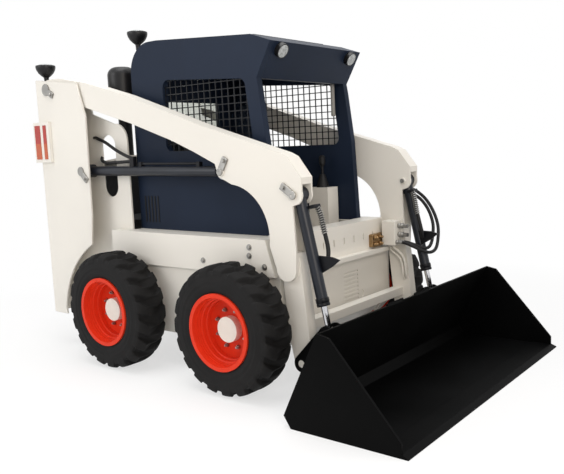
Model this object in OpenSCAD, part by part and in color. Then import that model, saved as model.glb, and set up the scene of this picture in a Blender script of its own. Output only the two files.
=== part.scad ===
// Skid steer loader with radial lift arms, open cab and general purpose bucket.
// Heights are above the ground, lengths run forward from the rear axle, widths are overall.

/* [Wheels] */
// Distance between the axles
wheelbase = 1046; // [1030:1:1056]
// Tyre diameter over the lugs
tyre_d = 770; // [750:1:776]
// Tyre width
tyre_w = 262; // [235:1:264]
// Width over the tyres
wheels_w = 1800; // [1798:1:1840]
// Wheel rim flange diameter
rim_d = 452; // [430:1:460]
// Depth of the wheel disc behind the rim flange
rim_dish = 112; // [95:1:125]
// Hub diameter
hub_d = 150; // [130:1:165]

/* [Frame] */
// Width over the frame tub
tub_w = 1048; // [1036:1:1054]
// Ground clearance under the tub
clearance_h = 205; // [190:1:230]
// Height of the sill top
sill_h = 888; // [876:1:900]
// Depth of the sill box
sill_depth = 216; // [190:1:230]
// Width over the sills
sill_w = 1240; // [1220:1:1250]
// Width over the chain cases
case_w = 1200; // [1180:1:1210]
// Front face of the frame
frame_front = 1278; // [1270:1:1284]
// Rear face of the frame behind the rear axle
frame_back = 880; // [866:1:900]
// Reach of the bumper behind the frame
bumper_out = 55; // [46:1:70]

/* [Towers] */
// Width over the tower outer plates
tower_w = 1336; // [1326:1:1350]
// Tower plate thickness
tower_plate = 12; // [8:1:14]
// Height of the tower top over the arm pivot
tower_over = 76; // [70:1:100]

/* [Lift arms] */
// Width over the arms
arms_w = 1290; // [1286:1:1296]
// Width of one arm box
arm_box = 100; // [98:1:102]
// Arm side plate thickness
arm_plate = 12; // [10:1:13]
// Arm pivot behind the rear axle
pivot_back = 756; // [740:1:770]
// Height of the arm pivot
pivot_h = 1880; // [1870:1:1890]
// Arm pivot pin diameter
pivot_pin_d = 60; // [50:1:64]
// Bucket pin forward of the rear axle
bucket_pin_x = 1445; // [1438:1:1452]
// Height of the bucket pin
bucket_pin_h = 198; // [192:1:206]
// Bucket pin diameter
bucket_pin_d = 44; // [36:1:50]

/* [Lift cylinders] */
// Barrel pin behind the rear axle
lift_base_back = 416; // [410:1:424]
// Height of the barrel pin
lift_base_h = 1295; // [1288:1:1302]
// Rod pin forward of the rear axle
lift_rod_x = 912; // [908:1:916]
// Height of the rod pin
lift_rod_h = 1281; // [1276:1:1286]
// Barrel outside diameter
lift_barrel_d = 66; // [58:1:66]
// Rod diameter
lift_rod_d = 40; // [32:1:46]

/* [Tilt cylinders] */
// Barrel pin forward of the rear axle
tilt_base_x = 1450; // [1446:1:1454]
// Height of the barrel pin
tilt_base_h = 1151; // [1146:1:1156]
// Rod pin forward of the rear axle
tilt_rod_x = 1622; // [1616:1:1626]
// Height of the rod pin
tilt_rod_h = 392; // [388:1:396]
// Barrel outside diameter
tilt_barrel_d = 66; // [58:1:66]
// Rod diameter
tilt_rod_d = 36; // [30:1:42]

/* [Bucket] */
// Bucket width
bucket_w = 2024; // [1960:1:2060]
// Bucket height
bucket_h = 519; // [505:1:535]
// Cutting edge tip forward of the rear axle
bucket_tip = 2335; // [2300:1:2360]
// Heel of the bucket forward of the rear axle
bucket_heel = 1617; // [1612:1:1624]
// Shell plate thickness
bucket_plate = 14; // [8:1:16]
// Cutting edge thickness
edge_plate = 20; // [16:1:26]

/* [Cab] */
// Cab width
cab_w = 936; // [920:1:960]
// Wall thickness of the cab
cab_wall = 45; // [36:1:50]
// Rear face of the cab behind the rear axle
cab_back = 55; // [48:1:58]
// Height of the roof
cab_h = 2130; // [2110:1:2150]
// Front foot of the cab post
cab_foot = 1150; // [1140:1:1160]
// Bar thickness of the side screens
screen_bar = 6; // [4:0.5:9]
// Bars across one side screen
screen_cols = 15; // [10:1:18]
// Bars up one side screen
screen_rows = 10; // [6:1:12]

/* [Seat] */
// Seat width
seat_w = 500; // [460:1:520]
// Height of the seat cushion top
seat_h = 1030; // [1010:1:1050]
// Tube diameter of the seat bar
seat_bar_d = 34; // [28:1:38]

/* [Hidden] */
$fn = 64;

// Cuts run past the faces that they open by this much
over = 20;
// Running clearance of pins in their bores, on the radius
run_gap = 0.05;
// Side clearance of cylinder eyes between their plates
eye_gap = 3;
// Centre of the whole machine along its length
mid_x = (bucket_tip - frame_back - bumper_out) / 2;
// Height of the tower top
tower_h = pivot_h + tower_over;

white = [0.93, 0.91, 0.86];
navy = [0.1, 0.11, 0.15];
black = [0.06, 0.06, 0.06];
red = [0.85, 0.14, 0.06];
steel = [0.7, 0.7, 0.72];

// Arm and cylinder planes
arm_out = arms_w / 2;
arm_in = arm_out - arm_box;
arm_mid = arm_out - arm_box / 2;
arm_slot = arm_box - 2 * arm_plate;
pivot = [-pivot_back, pivot_h];
bucket_pin = [bucket_pin_x, bucket_pin_h];
lift_base = [-lift_base_back, lift_base_h];
lift_end = [lift_rod_x, lift_rod_h];
tilt_base = [tilt_base_x, tilt_base_h];
tilt_end = [tilt_rod_x, tilt_rod_h];
arm_reach = bucket_pin_x + pivot_back;
arm_drop = pivot_h - bucket_pin_h;

// Point of the arm outline from its share of the reach and the drop
function on_arm(share) = [share[0] * arm_reach - pivot_back, pivot_h - share[1] * arm_drop];
// Points of an arc in one plane
function arc(centre, r, from, to, steps = 16) =
    [for (i = [0:steps]) let (a = from + (to - from) * i / steps) centre + r * [cos(a), sin(a)]];
// Direction of a cylinder from its base pin to its rod pin
function aim(a, b) = atan2(b[1] - a[1], b[0] - a[0]);

// Draws its children in the plane of length and height, from one width to another
module slab(y_from, y_to) {
    translate([0, y_to, 0]) rotate([90, 0, 0]) linear_extrude(y_to - y_from) children();
}
// Round bar across the machine
module crossbar(at, r, y_from, y_to) {
    translate([at[0], y_from, at[1]]) rotate([-90, 0, 0]) cylinder(r = r, h = y_to - y_from);
}
// Block between two corners
module block(low, high) {
    translate(low) cube(high - low);
}
// Children on the left side and their mirror image on the right
module both_sides() {
    children();
    mirror([0, 1, 0]) children();
}
// Places the machine on its reference point
module placed() {
    translate([-mid_x, 0, 0]) children();
}

// Frame tub
tub_half = tub_w / 2;
tub_wall = 10;
tub_nose = 110;
tub_tail = 95;
floor_h = 560;
riser_x = 560;
deck_drop = 8;
bumper_w = 620;
bumper_h = 120;
bumper_low = 320;
hitch_w = 110;
hitch_plate = 22;
hitch_bore_d = 22;
hitch_edge = 24;
bumper_face_share = 0.3;
tub_back = frame_back - tower_plate;
module tub_outline(inset, back) {
    polygon([[-back, clearance_h + tub_tail + back - tub_back + inset * sqrt(2)],
        [-tub_back + tub_tail + inset * (sqrt(2) - 1), clearance_h + inset],
        [frame_front - tub_nose - inset, clearance_h + inset],
        [frame_front - inset, clearance_h + tub_nose + inset],
        [frame_front - inset, sill_h - deck_drop + (inset > 0 ? over : 0)],
        [-back, sill_h - deck_drop + (inset > 0 ? over : 0)]]);
}
module frame_tub() {
    color(white) placed() {
        difference() {
            slab(-tub_half, tub_half) tub_outline(0, tub_back);
            slab(-tub_half + tub_wall, tub_half - tub_wall) tub_outline(tub_wall, tub_back + over);
        }
        // Stepped cab floor, riser and seat deck
        block([riser_x, -tub_half + tub_wall, floor_h], [frame_front - tub_wall, tub_half - tub_wall,
            floor_h + tub_wall]);
        block([riser_x - tub_wall, -tub_half + tub_wall, floor_h], [riser_x, tub_half - tub_wall,
            sill_h - deck_drop]);
        block([-cab_back, -tub_half + tub_wall, sill_h - deck_drop - tub_wall],
            [riser_x - tub_wall, tub_half - tub_wall, sill_h - deck_drop]);
        // Rails under the cab sides
        both_sides() block([-cab_back, cab_half - cab_wall, sill_h - deck_drop], [frame_front, tub_half,
            sill_h]);
        // Rear bumper beam with its hitch plate
        block([-frame_back - bumper_out * bumper_face_share, -bumper_w / 2, bumper_low],
            [-tub_back + tub_wall, bumper_w / 2, bumper_low + bumper_h]);
        difference() {
            block([-frame_back - bumper_out, -hitch_w / 2, bumper_low + bumper_h],
                [-frame_back, hitch_w / 2, bumper_low + bumper_h + hitch_plate]);
            translate([hitch_edge - frame_back - bumper_out, 0, bumper_low])
                cylinder(d = hitch_bore_d, h = bumper_h + hitch_plate + over);
        }
        block([-tub_back, -bumper_w / 2, clearance_h + tub_tail],
            [-tub_back + tub_wall, bumper_w / 2, bumper_low]);
    }
}

// Chain cases with sills and axle tubes
sill_back = 190;
sill_nose = 66;
sill_front = frame_front - 4 * tub_wall + sill_nose / 2;
front_plate = 12;
case_back = 330;
case_front = frame_front + front_plate;
case_lift = 25;
case_low = clearance_h + case_lift;
case_nose = 80;
axle_h = tyre_d / 2;
axle_tube_d = 124;
axle_shaft_d = 60;
axle_tube_in = 50;
axle_tube_out = wheels_w / 2 - tyre_w + axle_tube_in;
axle_in = case_w / 2 - axle_tube_in;
module chain_cases() {
    color(white) placed() both_sides() difference() {
        union() {
            slab(tub_half, sill_w / 2) polygon([[-sill_back, sill_h - sill_depth], [-sill_back, sill_h],
                [sill_front - sill_nose, sill_h], [sill_front, sill_h - sill_depth]]);
            slab(tub_half, case_w / 2) polygon([[-case_back, case_low], [-case_back, sill_h - sill_depth],
                [case_front, sill_h - sill_depth], [case_front, case_low + case_nose],
                    [case_front - case_nose, case_low]]);
            for (x = [0, wheelbase]) crossbar([x, axle_h], axle_tube_d / 2, case_w / 2 - tub_wall,
                axle_tube_out);
        }
        for (x = [0, wheelbase])
            crossbar([x, axle_h], axle_shaft_d / 2 + run_gap, axle_in, axle_tube_out + over);
    }
}

// Front panel with step slots, ledge and louvred belly plate
front_half = tub_half;
ledge_h = 30;
ledge_out = 62;
step_slot = [12, 44];
step_slots = 8;
step_pitch_share = 0.108;
louvres = 8;
louvre = [165, 12];
louvre_pitch = 26;
louvre_y = 120;
louvre_low = 392;
belly_hole_d = 52;
module front_panel() {
    ledge_top = sill_h - sill_depth + ledge_h;
    color(white) placed() difference() {
        union() {
            block([frame_front, -front_half, ledge_top - ledge_h], [frame_front + front_plate,
                front_half, sill_h + front_plate]);
            block([frame_front, -front_half, ledge_top - ledge_h], [frame_front + ledge_out, front_half,
                ledge_top]);
            block([cab_foot, -front_half, sill_h], [frame_front + front_plate, front_half,
                sill_h + front_plate]);
            block([frame_front, -front_half, clearance_h + tub_nose], [frame_front + front_plate,
                front_half, ledge_top]);
        }
        for (i = [0:step_slots - 1])
            block([frame_front - over,
                (i - (step_slots - 1) / 2) * step_pitch_share * 2 * front_half - step_slot[0] / 2,
                (ledge_top + sill_h) / 2 - step_slot[1] / 2],
                [frame_front + front_plate + over,
                    (i - (step_slots - 1) / 2) * step_pitch_share * 2 * front_half + step_slot[0] / 2,
                (ledge_top + sill_h) / 2 + step_slot[1] / 2]);
        for (i = [0:louvres - 1])
            block([frame_front + front_plate / 2, louvre_y - louvre[0] / 2, louvre_low + i * louvre_pitch],
                [frame_front + front_plate + over, louvre_y + louvre[0] / 2,
                    louvre_low + i * louvre_pitch + louvre[1]]);
        translate([frame_front + front_plate / 2, louvre_y + louvre[0] * 3 / 4,
            louvre_low + belly_hole_d / 2])
            rotate([0, 90, 0]) cylinder(d = belly_hole_d, h = front_plate + over);
    }
}

// Towers: outer plate, inner plate, rear web, lamp box
tower_out = tower_w / 2;
tower_foot = 245;
arch_x = -80;
arch_h = 180;
arch_r = 664;
tower_front_shares = [[0.545, 0.033], [0.634, 0.167], [0.62, 0.56]];
inner_front_shares = [[0.46, 0.035], [0.52, 0.155], [0.78, 0.2]];
inner_round = 120;
inner_gap = 7;
inner_front = cab_back + inner_gap;
hand_hole = [150, 430];
hand_hole_x = -266;
hand_hole_h = 1325;
lamp_box = [190, 92, 290];
lamp_box_back = 45;
lamp_box_h = 1364;
lamp_box_out = 22;
lens_slots = [[20, 64], [122, 36]];
lens_margin = 24;
lens_depth = 14;
hinge_back = 12;
hinge_in = 14;
hinge_x = -frame_back - hinge_back;
hinge_y = tub_half - hinge_in;
hinge_pin_d = 16;
hinge_knuckle_d = 30;
hinge_knuckle = 70;
hinge_heights = [480, 1080];
hinge_plate = 16;
hinge_strap = 300;
// Point of a tower outline from its share of the frame overhang and the tower height
function on_tower(share) = [-frame_back + share[0] * frame_back,
    tower_h - share[1] * (tower_h - tower_foot)];
module tower_outer_outline() {
    polygon(concat([[-frame_back, tower_foot], [-frame_back, tower_h]],
        [for (s = tower_front_shares) on_tower(s)],
        arc([arch_x, arch_h], arch_r, 115, 170), [[arch_x - arch_r + over, tower_foot]]));
}
module tower_inner_outline() {
    polygon(concat([[-frame_back, tower_foot], [-frame_back, tower_h]],
        [for (s = inner_front_shares) on_tower(s)],
        arc([-inner_front - inner_round, on_tower(inner_front_shares[2])[1] - inner_round], inner_round,
            80, 0, 8),
        [[-inner_front, sill_h], [-sill_back, sill_h], [-sill_back, sill_h - sill_depth],
        [-case_back, sill_h - sill_depth], [-case_back, tower_foot]]));
}
module hand_hole_outline() {
    r = hand_hole[0] / 2;
    translate([hand_hole_x, hand_hole_h]) {
        square([hand_hole[0], hand_hole[1] - 2 * r], center = true);
        for (s = [-1, 1]) translate([0, s * (hand_hole[1] / 2 - r)]) circle(r = r);
    }
}
// One tower on the left side
module tower() {
    difference() {
        union() {
            slab(tower_out - tower_plate, tower_out) tower_outer_outline();
            slab(tub_half, tub_half + tower_plate) tower_inner_outline();
            block([-frame_back, tub_half, tower_foot], [-frame_back + tower_plate, tower_out, tower_h]);
            translate([-frame_back - lamp_box_back, tower_out + lamp_box_out - lamp_box[1],
                lamp_box_h]) cube(lamp_box);
        }
        slab(tub_half - over, tower_out + over) translate(pivot) circle(d = pivot_pin_d);
        slab(tub_half - over, tower_out + over) translate(lift_base) circle(d = lift_pin_d);
        slab(tub_half - over, tub_half + tower_plate + over) hand_hole_outline();
        // Room for the arm and the barrel behind the lamp box
        block([-frame_back + tower_plate, tub_half + tower_plate, lamp_box_h - over],
            [-frame_back + lamp_box[0], tower_out - tower_plate, lamp_box_h + lamp_box[2] + over]);
        for (s = lens_slots) translate([-frame_back - lamp_box_back + s[0],
            tower_out + lamp_box_out - lens_depth, lamp_box_h + lens_margin])
            cube([s[1], lens_depth + over, lamp_box[2] - 2 * lens_margin]);
        translate([-frame_back - lamp_box_back - over,
            tower_out + lamp_box_out - lamp_box[1] + lens_margin, lamp_box_h + lens_margin])
            cube([lens_depth + over, lamp_box[1] - lens_margin - lens_depth - tower_plate,
                lamp_box[2] - 2 * lens_margin]);
    }
}
module tower_right() {
    color(white) placed() mirror([0, 1, 0]) tower();
}
module tower_left() {
    color(white) placed() {
        tower();
        // Hinge pins of the rear door on their plates
        for (h = hinge_heights) {
            translate([hinge_x, hinge_y, h - hinge_plate]) cylinder(d = hinge_pin_d,
                h = hinge_knuckle + hinge_plate);
            translate([hinge_x, hinge_y, h - hinge_plate]) cylinder(d = hinge_knuckle_d, h = hinge_plate);
            block([hinge_x - hinge_knuckle_d / 2, hinge_y, h - hinge_plate], [-frame_back,
                tub_half + tower_plate, h]);
        }
    }
}

// Engine
engine_size = [600, 520, 700];
engine_back = 750;
sump_share = 0.45;
module engine_block() {
    color(black) placed() {
        low = clearance_h + tub_wall;
        block([-engine_back, -engine_size[1] * sump_share / 2, low],
            [-engine_back + engine_size[0], engine_size[1] * sump_share / 2, low + engine_size[2] / 3]);
        block([-engine_back, -engine_size[1] / 2, low + engine_size[2] / 3],
            [-engine_back + engine_size[0], engine_size[1] / 2, low + engine_size[2]]);
    }
}

// Engine hood with cooling slots
hood_h = 1290;
hood_front_h = 1380;
hood_plate = 14;
hood_slots = 9;
hood_slot = [24, 620];
hood_slot_gap = 28;
hood_slot_back = 760;
hood_gap = 2;
hood_front = cab_back + hood_gap;
module hood_outline() {
    polygon([[-tub_back, hood_h], [-tub_back, hood_h + hood_plate], [-hood_front,
        hood_front_h + hood_plate],
        [-hood_front, hood_front_h]]);
}
module engine_hood() {
    color(white) placed() difference() {
        slab(-tub_half, tub_half) hood_outline();
        for (i = [0:hood_slots - 1])
            translate([-hood_slot_back + i * (hood_slot[0] + hood_slot_gap), -hood_slot[1] / 2, hood_h - over])
                cube([hood_slot[0], hood_slot[1], hood_front_h - hood_h + hood_plate + 2 * over]);
    }
}

// Air cleaner bowl on its stem
cleaner_at = [-300, -350];
cleaner_r = 100;
cleaner_top = 2015;
cleaner_bowl = 215;
cleaner_stem_r = 46;
cleaner_round = 60;
module air_cleaner() {
    rise_share = (tub_back + cleaner_at[0] - cleaner_stem_r) / (tub_back - hood_front);
    base = hood_h + hood_plate + (hood_front_h - hood_h) * rise_share;
    color(black) placed() translate([cleaner_at[0], cleaner_at[1], 0]) difference() {
        rotate_extrude() polygon(concat([[0, base], [cleaner_stem_r, base], [cleaner_stem_r,
            cleaner_top - cleaner_bowl - cleaner_round],
            [cleaner_r, cleaner_top - cleaner_bowl]],
            arc([cleaner_r - cleaner_round, cleaner_top - cleaner_round], cleaner_round, 0, 90, 8), [[0,
                cleaner_top]]));
        translate([-cleaner_at[0], -cleaner_at[1], 0]) slab(-tub_half, tub_half) hood_outline();
    }
}

// Tail lamp lenses and the marker lamp on the cab corner
lens_lip = 4;
marker = [16, 26, 86];
marker_y = -430;
marker_h = 1840;
module lamp_lens() {
    for (s = lens_slots) translate([-frame_back - lamp_box_back + s[0],
        tower_out + lamp_box_out - lens_depth, lamp_box_h + lens_margin])
        cube([s[1], lens_depth + lens_lip, lamp_box[2] - 2 * lens_margin]);
    translate([-frame_back - lamp_box_back - lens_lip,
        tower_out + lamp_box_out - lamp_box[1] + lens_margin, lamp_box_h + lens_margin])
        cube([lens_depth + lens_lip, lamp_box[1] - lens_margin - lens_depth - tower_plate,
            lamp_box[2] - 2 * lens_margin]);
}
module tail_lenses() {
    color(red) placed() {
        both_sides() lamp_lens();
        translate([-cab_back - marker[0], marker_y, marker_h]) cube(marker);
    }
}

// Work lamps: bowls on the towers and the cab corner, round lamps in the visor
bowl_r = 68;
bowl_h = 120;
bowl_foot_r = 16;
bowl_foot = 44;
bowl_back = 850;
bowl_drop = 14;
lens_t = 6;
corner_lamp = [-100, -352];
corner_post_d = 28;
corner_lamp_h = 2112;
corner_drop = 190;
lamp_bracket = 14;
lamp_bracket_w = tower_out - tub_half - 2 * tower_plate;
cab_lamp_r = 45;
cab_lamp_depth = 30;
cab_lamp_y = 357;
cab_lamp_share = 0.2;
// Bowl with its open side up, standing on its foot
module lamp_bowl() {
    rotate_extrude() polygon([[0, 0], [bowl_foot_r, 0], [bowl_foot_r, bowl_foot], [bowl_r, bowl_h - lens_t],
        [bowl_r, bowl_h], [bowl_r - lens_t, bowl_h], [bowl_r - lens_t, bowl_h - lens_t], [0,
            bowl_h - lens_t]]);
}
module lamp_glass() {
    translate([0, 0, bowl_h - lens_t]) cylinder(r = bowl_r - lens_t, h = lens_t);
}
module at_bowls() {
    for (s = [-1, 1]) translate([-bowl_back, s * (tower_out + tub_half) / 2,
        tower_h - bowl_drop]) children();
    translate([corner_lamp[0], corner_lamp[1], corner_lamp_h]) children();
}
module at_cab_lamps() {
    for (s = [-1, 1]) translate([visor_at(cab_lamp_share)[0], s * cab_lamp_y, visor_at(cab_lamp_share)[1]])
        rotate([0, visor_lean, 0]) children();
}
module work_lamps() {
    color(black) placed() {
        at_bowls() lamp_bowl();
        translate([corner_lamp[0], corner_lamp[1],
            corner_lamp_h - corner_drop]) cylinder(d = corner_post_d, h = corner_drop);
        block([corner_lamp[0] - corner_post_d / 2, corner_lamp[1] - corner_post_d / 2,
            corner_lamp_h - corner_drop - corner_post_d],
            [-cab_back, corner_lamp[1] + corner_post_d / 2, corner_lamp_h - corner_drop]);
        both_sides() block([-frame_back + tower_plate, tub_half + tower_plate,
            tower_h - bowl_drop - lamp_bracket],
            [bowl_foot_r - bowl_back, tub_half + tower_plate + lamp_bracket_w, tower_h - bowl_drop]);
        at_cab_lamps() difference() {
            cylinder(r = cab_lamp_r, h = cab_lamp_depth);
            translate([0, 0, cab_lamp_depth - lens_t]) cylinder(r = cab_lamp_r - lens_t, h = lens_t + over);
        }
    }
}
module lamp_lenses() {
    color([0.85, 0.9, 0.95]) placed() {
        at_bowls() lamp_glass();
        at_cab_lamps() translate([0, 0, cab_lamp_depth - lens_t]) cylinder(r = cab_lamp_r - lens_t,
            h = lens_t);
    }
}

// Cab
cab_half = cab_w / 2;
cab_round = 195;
cab_length = cab_foot + cab_back;
cab_rise = cab_h - sill_h;
visor_top_shares = [[0.225, 0.0], [0.905, 0.047]];
visor_tip_share = [1.031, 0.089];
visor_notch_share = [0.933, 0.251];
post_shares = [[0.943, 0.306], [0.978, 0.564]];
window_back_share = 0.255;
window_top_shares = [0.21, 0.245];
window_low_share = 0.58;
post_w = 104;
window_round = 50;
// Point of the cab side from its share of the cab's length and height
function on_cab(share) = [share[0] * cab_length - cab_back, cab_h - share[1] * cab_rise];
// Point on the sloping visor face from its share downwards
function visor_at(share) =
    on_cab(visor_tip_share) + share * (on_cab(visor_notch_share) - on_cab(visor_tip_share));
visor_lean = 90 + atan2(on_cab(visor_tip_share)[0] - on_cab(visor_notch_share)[0],
    on_cab(visor_tip_share)[1] - on_cab(visor_notch_share)[1]);
module cab_outline() {
    polygon(concat([[-cab_back, sill_h]], arc([cab_round - cab_back, cab_h - cab_round], cab_round, 180,
        90),
        [for (s = visor_top_shares) on_cab(s)], [on_cab(visor_tip_share), on_cab(visor_notch_share)],
        [for (s = post_shares) on_cab(s)], [[cab_foot, sill_h]]));
}
// Side window with rounded corners
module window_outline() {
    left = on_cab([window_back_share, 0])[0];
    top = [for (s = window_top_shares) on_cab([0, s])[1]];
    low = on_cab([0, window_low_share])[1];
    right = [on_cab(post_shares[0])[0] - post_w, on_cab(post_shares[1])[0] - post_w];
    polygon(concat(arc([left + window_round, low + window_round], window_round, 270, 180, 6),
        arc([left + window_round, top[0] - window_round], window_round, 180, 90, 6),
        arc([right[0] - window_round, top[1] - window_round], window_round, 90, 0, 6),
        arc([right[1] - window_round, low + window_round], window_round, 0, -90, 6)));
}
bar_pin_d = 28;
bar_pin_in = 34;
bar_x = 170;
bar_over = 300;
bar_pivot = [bar_x, seat_h + bar_over];
module cab_side() {
    difference() {
        slab(cab_half - cab_wall, cab_half) cab_outline();
        slab(cab_half - cab_wall - over, cab_half + over) window_outline();
    }
    crossbar(bar_pivot, bar_pin_d / 2, cab_half - cab_wall - bar_pin_in, cab_half - cab_wall);
}
module cab_side_right() {
    color(navy) placed() mirror([0, 1, 0]) cab_side();
}
module cab_side_left() {
    color(navy) placed() cab_side();
}
roof_plate = 14;
roof_margin = 70;
module cab_roof() {
    inner = cab_half - cab_wall;
    color(navy) placed() {
        slab(-inner, inner) difference() {
            cab_outline();
            translate([cab_wall, -cab_wall]) cab_outline();
            translate([-cab_back - over, sill_h - over]) square([cab_length + cab_rise,
                cab_rise - cab_round + over]);
        }
        slab(-inner, inner) polygon([on_cab(visor_tip_share), on_cab(visor_notch_share),
            on_cab(visor_notch_share) - [cab_wall, 0],
                on_cab(visor_tip_share) - [cab_wall + cab_wall / 2, cab_wall / 2],
            on_cab(visor_top_shares[1]) - [0, cab_wall], on_cab(visor_top_shares[1])]);
        slab(-inner + roof_margin, inner - roof_margin) polygon([on_cab(visor_top_shares[0]),
            on_cab(visor_top_shares[1]) - [roof_margin, -roof_fall],
            on_cab(visor_top_shares[1]) + [-roof_margin, roof_plate + roof_fall],
                on_cab(visor_top_shares[0]) + [0, roof_plate]]);
    }
}
roof_run = on_cab(visor_top_shares[1]) - on_cab(visor_top_shares[0]);
roof_slope = -roof_run[1] / roof_run[0];
roof_fall = roof_margin * roof_slope;
rear_window_shares = [0.3, 0.72];
rear_window_w = 640;
module rear_window_outline() {
    polygon([[-rear_window_w / 2, on_cab([0, rear_window_shares[1]])[1]], [rear_window_w / 2, on_cab([0,
        rear_window_shares[1]])[1]],
        [rear_window_w / 2, on_cab([0, rear_window_shares[0]])[1]], [-rear_window_w / 2, on_cab([0,
            rear_window_shares[0]])[1]]]);
}
module cab_rear() {
    inner = cab_half - cab_wall;
    color(navy) placed() difference() {
        block([-cab_back, -inner, sill_h], [-cab_back + cab_wall, inner, cab_h - cab_round]);
        translate([-cab_back - over, 0, 0]) rotate([90, 0,
            90]) linear_extrude(cab_wall + 2 * over) rear_window_outline();
    }
}
glass_t = 6;
module rear_window() {
    color([0.5, 0.6, 0.65, 0.5]) placed() translate([-cab_back + cab_wall / 2, 0, 0]) rotate([90, 0, 90])
        linear_extrude(glass_t) rear_window_outline();
}
// Square mesh of bars in each side window
module screen() {
    left = on_cab([window_back_share, 0])[0];
    low = on_cab([0, window_low_share])[1];
    width = on_cab(post_shares[1])[0] - post_w - left;
    height = on_cab([0, window_top_shares[0]])[1] - low;
    slab(cab_half - cab_wall / 2 - screen_bar / 2,
        cab_half - cab_wall / 2 + screen_bar / 2) intersection() {
        window_outline();
        union() {
            for (i = [0:screen_cols]) translate([left + width * i / screen_cols - screen_bar / 2,
                low]) square([screen_bar, height]);
            for (i = [0:screen_rows]) translate([left,
                low + height * i / screen_rows - screen_bar / 2]) square([width, screen_bar]);
        }
    }
}
module side_screens() {
    color(black) placed() both_sides() screen();
}

// Seat, consoles and controls
seat_back_x = 110;
seat_depth = 470;
pad_t = 110;
back_over = 530;
back_top = seat_h + back_over;
pan_wall = 40;
soft_gap = 0.5;
module seat_pan() {
    color(black) placed() {
        block([seat_back_x, -seat_w / 2 + pan_wall, sill_h - deck_drop], [riser_x - tub_wall,
            seat_w / 2 - pan_wall, seat_h - pad_t]);
        block([-cab_back + cab_wall, -seat_w / 2 + pan_wall, sill_h - deck_drop],
            [seat_back_x - pan_wall, seat_w / 2 - pan_wall, back_top - 2 * pan_wall]);
    }
}
module seat_pads() {
    color(black) placed() {
        block([seat_back_x + pad_t, -seat_w / 2, seat_h - pad_t + soft_gap],
            [seat_back_x + pad_t + seat_depth, seat_w / 2, seat_h]);
        block([seat_back_x - pan_wall + soft_gap, -seat_w / 2, seat_h - pad_t / 2],
            [seat_back_x + pad_t - pan_wall / 2, seat_w / 2, back_top]);
    }
}
console_size = [165, 120];
console_x = 840;
console_y = 290;
console_h = 1120;
boot_r = 46;
boot_h = 90;
stick_r = 9;
stick_h = 210;
knob_r = 22;
knob_h = 70;
module consoles() {
    color(white) placed() both_sides()
        block([console_x, console_y, floor_h + tub_wall], [console_x + console_size[0],
            console_y + console_size[1], console_h]);
}
module joysticks() {
    color(black) placed() both_sides() translate([console_x + console_size[0] / 2,
        console_y + console_size[1] / 2, console_h])
        rotate_extrude() polygon([[0, 0], [boot_r, 0], [stick_r * 2, boot_h], [stick_r, boot_h],
            [stick_r, stick_h - knob_h],
            [knob_r, stick_h - knob_h * 2 / 3], [knob_r, stick_h], [knob_r / 2, stick_h + knob_r / 2],
                [0, stick_h + knob_r / 2]]);
}
bar_reach = 470;
bar_drop = 110;
bar_boss_d = 56;
module seat_bar() {
    outer = cab_half - cab_wall - lug_gap;
    inner = outer - bar_pin_in + lug_gap;
    tip = bar_pivot + [bar_reach, -bar_drop];
    color(black) placed() {
        both_sides() {
            difference() {
                crossbar(bar_pivot, bar_boss_d / 2, inner, outer);
                crossbar(bar_pivot, bar_pin_d / 2 + run_gap, inner - over, outer + over);
            }
            translate([bar_pivot[0], outer - seat_bar_d / 2, bar_pivot[1]]) rotate([0,
                90 - aim(bar_pivot, tip), 0])
                translate([0, 0, bar_boss_d / 2 - eye_gap]) cylinder(d = seat_bar_d,
                    h = norm(tip - bar_pivot) - bar_boss_d / 2 + eye_gap);
        }
        crossbar(tip, seat_bar_d / 2, -inner - seat_bar_d / 2, inner + seat_bar_d / 2);
    }
}

// Pins of the arm pivots and lift barrels
lift_pin_d = 44;
pin_head_d = 84;
pin_head = 8;
module pivot_pins() {
    color(steel) placed() both_sides() {
        crossbar(pivot, pivot_pin_d / 2 - run_gap, tub_half + run_gap, tower_out + pin_head);
        crossbar(pivot, pin_head_d / 2, tower_out, tower_out + pin_head);
        crossbar(lift_base, lift_pin_d / 2 - run_gap, tub_half + run_gap, tower_out + pin_head);
        crossbar(lift_base, pin_head_d * 3 / 8, tower_out, tower_out + pin_head);
    }
}

// Lift arms
arm_root_r = 72;
lift_eye_r = 46;
tilt_eye_r = 42;
tilt_lug_r = 58;
arm_top_shares = [[0.053, -0.042], [0.19, -0.011], [0.379, 0.057], [0.69, 0.191]];
knee_shares = [[-1.36, 3.96], [-0.54, 3.58], [0.98, 1.64]];
arm_front_shares = [[0.998, 0.47], [1.003, 0.62]];
arm_low_shares = [[0.747, 0.372], [0.737, 0.328], [0.66, 0.284], [0.572, 0.239], [0.4, 0.166], [0.17,
    0.083]];
bend_share = [0.78, 0.58];
bend_r = 305;
plate_end_r = 70;
plate_end_share = [0.9685, 0.681];
leg_in = 30;
leg_out = arm_out - leg_in;
leg_shares = [[0.945, 0.6], [1.003, 0.64], [1.0235, 0.913]];
leg_back_shares = [[0.962, 0.93], [0.946, 0.72]];
leg_end_r = 58;
lift_slot_back_share = 0.66;
lift_slot_front_share = 0.79;
tilt_slot_back_share = 0.972;
tilt_slot_low_share = 0.625;
lug_plate = 12;
lug_gap = 5;
module arm_outline() {
    polygon(concat([for (s = arm_top_shares) on_arm(s)], [for (s = knee_shares) tilt_base + s * tilt_lug_r],
        arc(tilt_base, tilt_lug_r, 20, -60, 8),
        [for (s = arm_front_shares) on_arm(s)],
        arc(on_arm(plate_end_share), plate_end_r, 0, -180, 12), arc(on_arm(bend_share), bend_r, -8, 84),
        [for (s = arm_low_shares) on_arm(s)], arc(pivot, arm_root_r, 250, 90, 12)));
}
module leg_outline() {
    polygon(concat([for (s = leg_shares) on_arm(s)], arc(bucket_pin, leg_end_r, 5, -170, 12),
        [for (s = leg_back_shares) on_arm(s)]));
}
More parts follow.
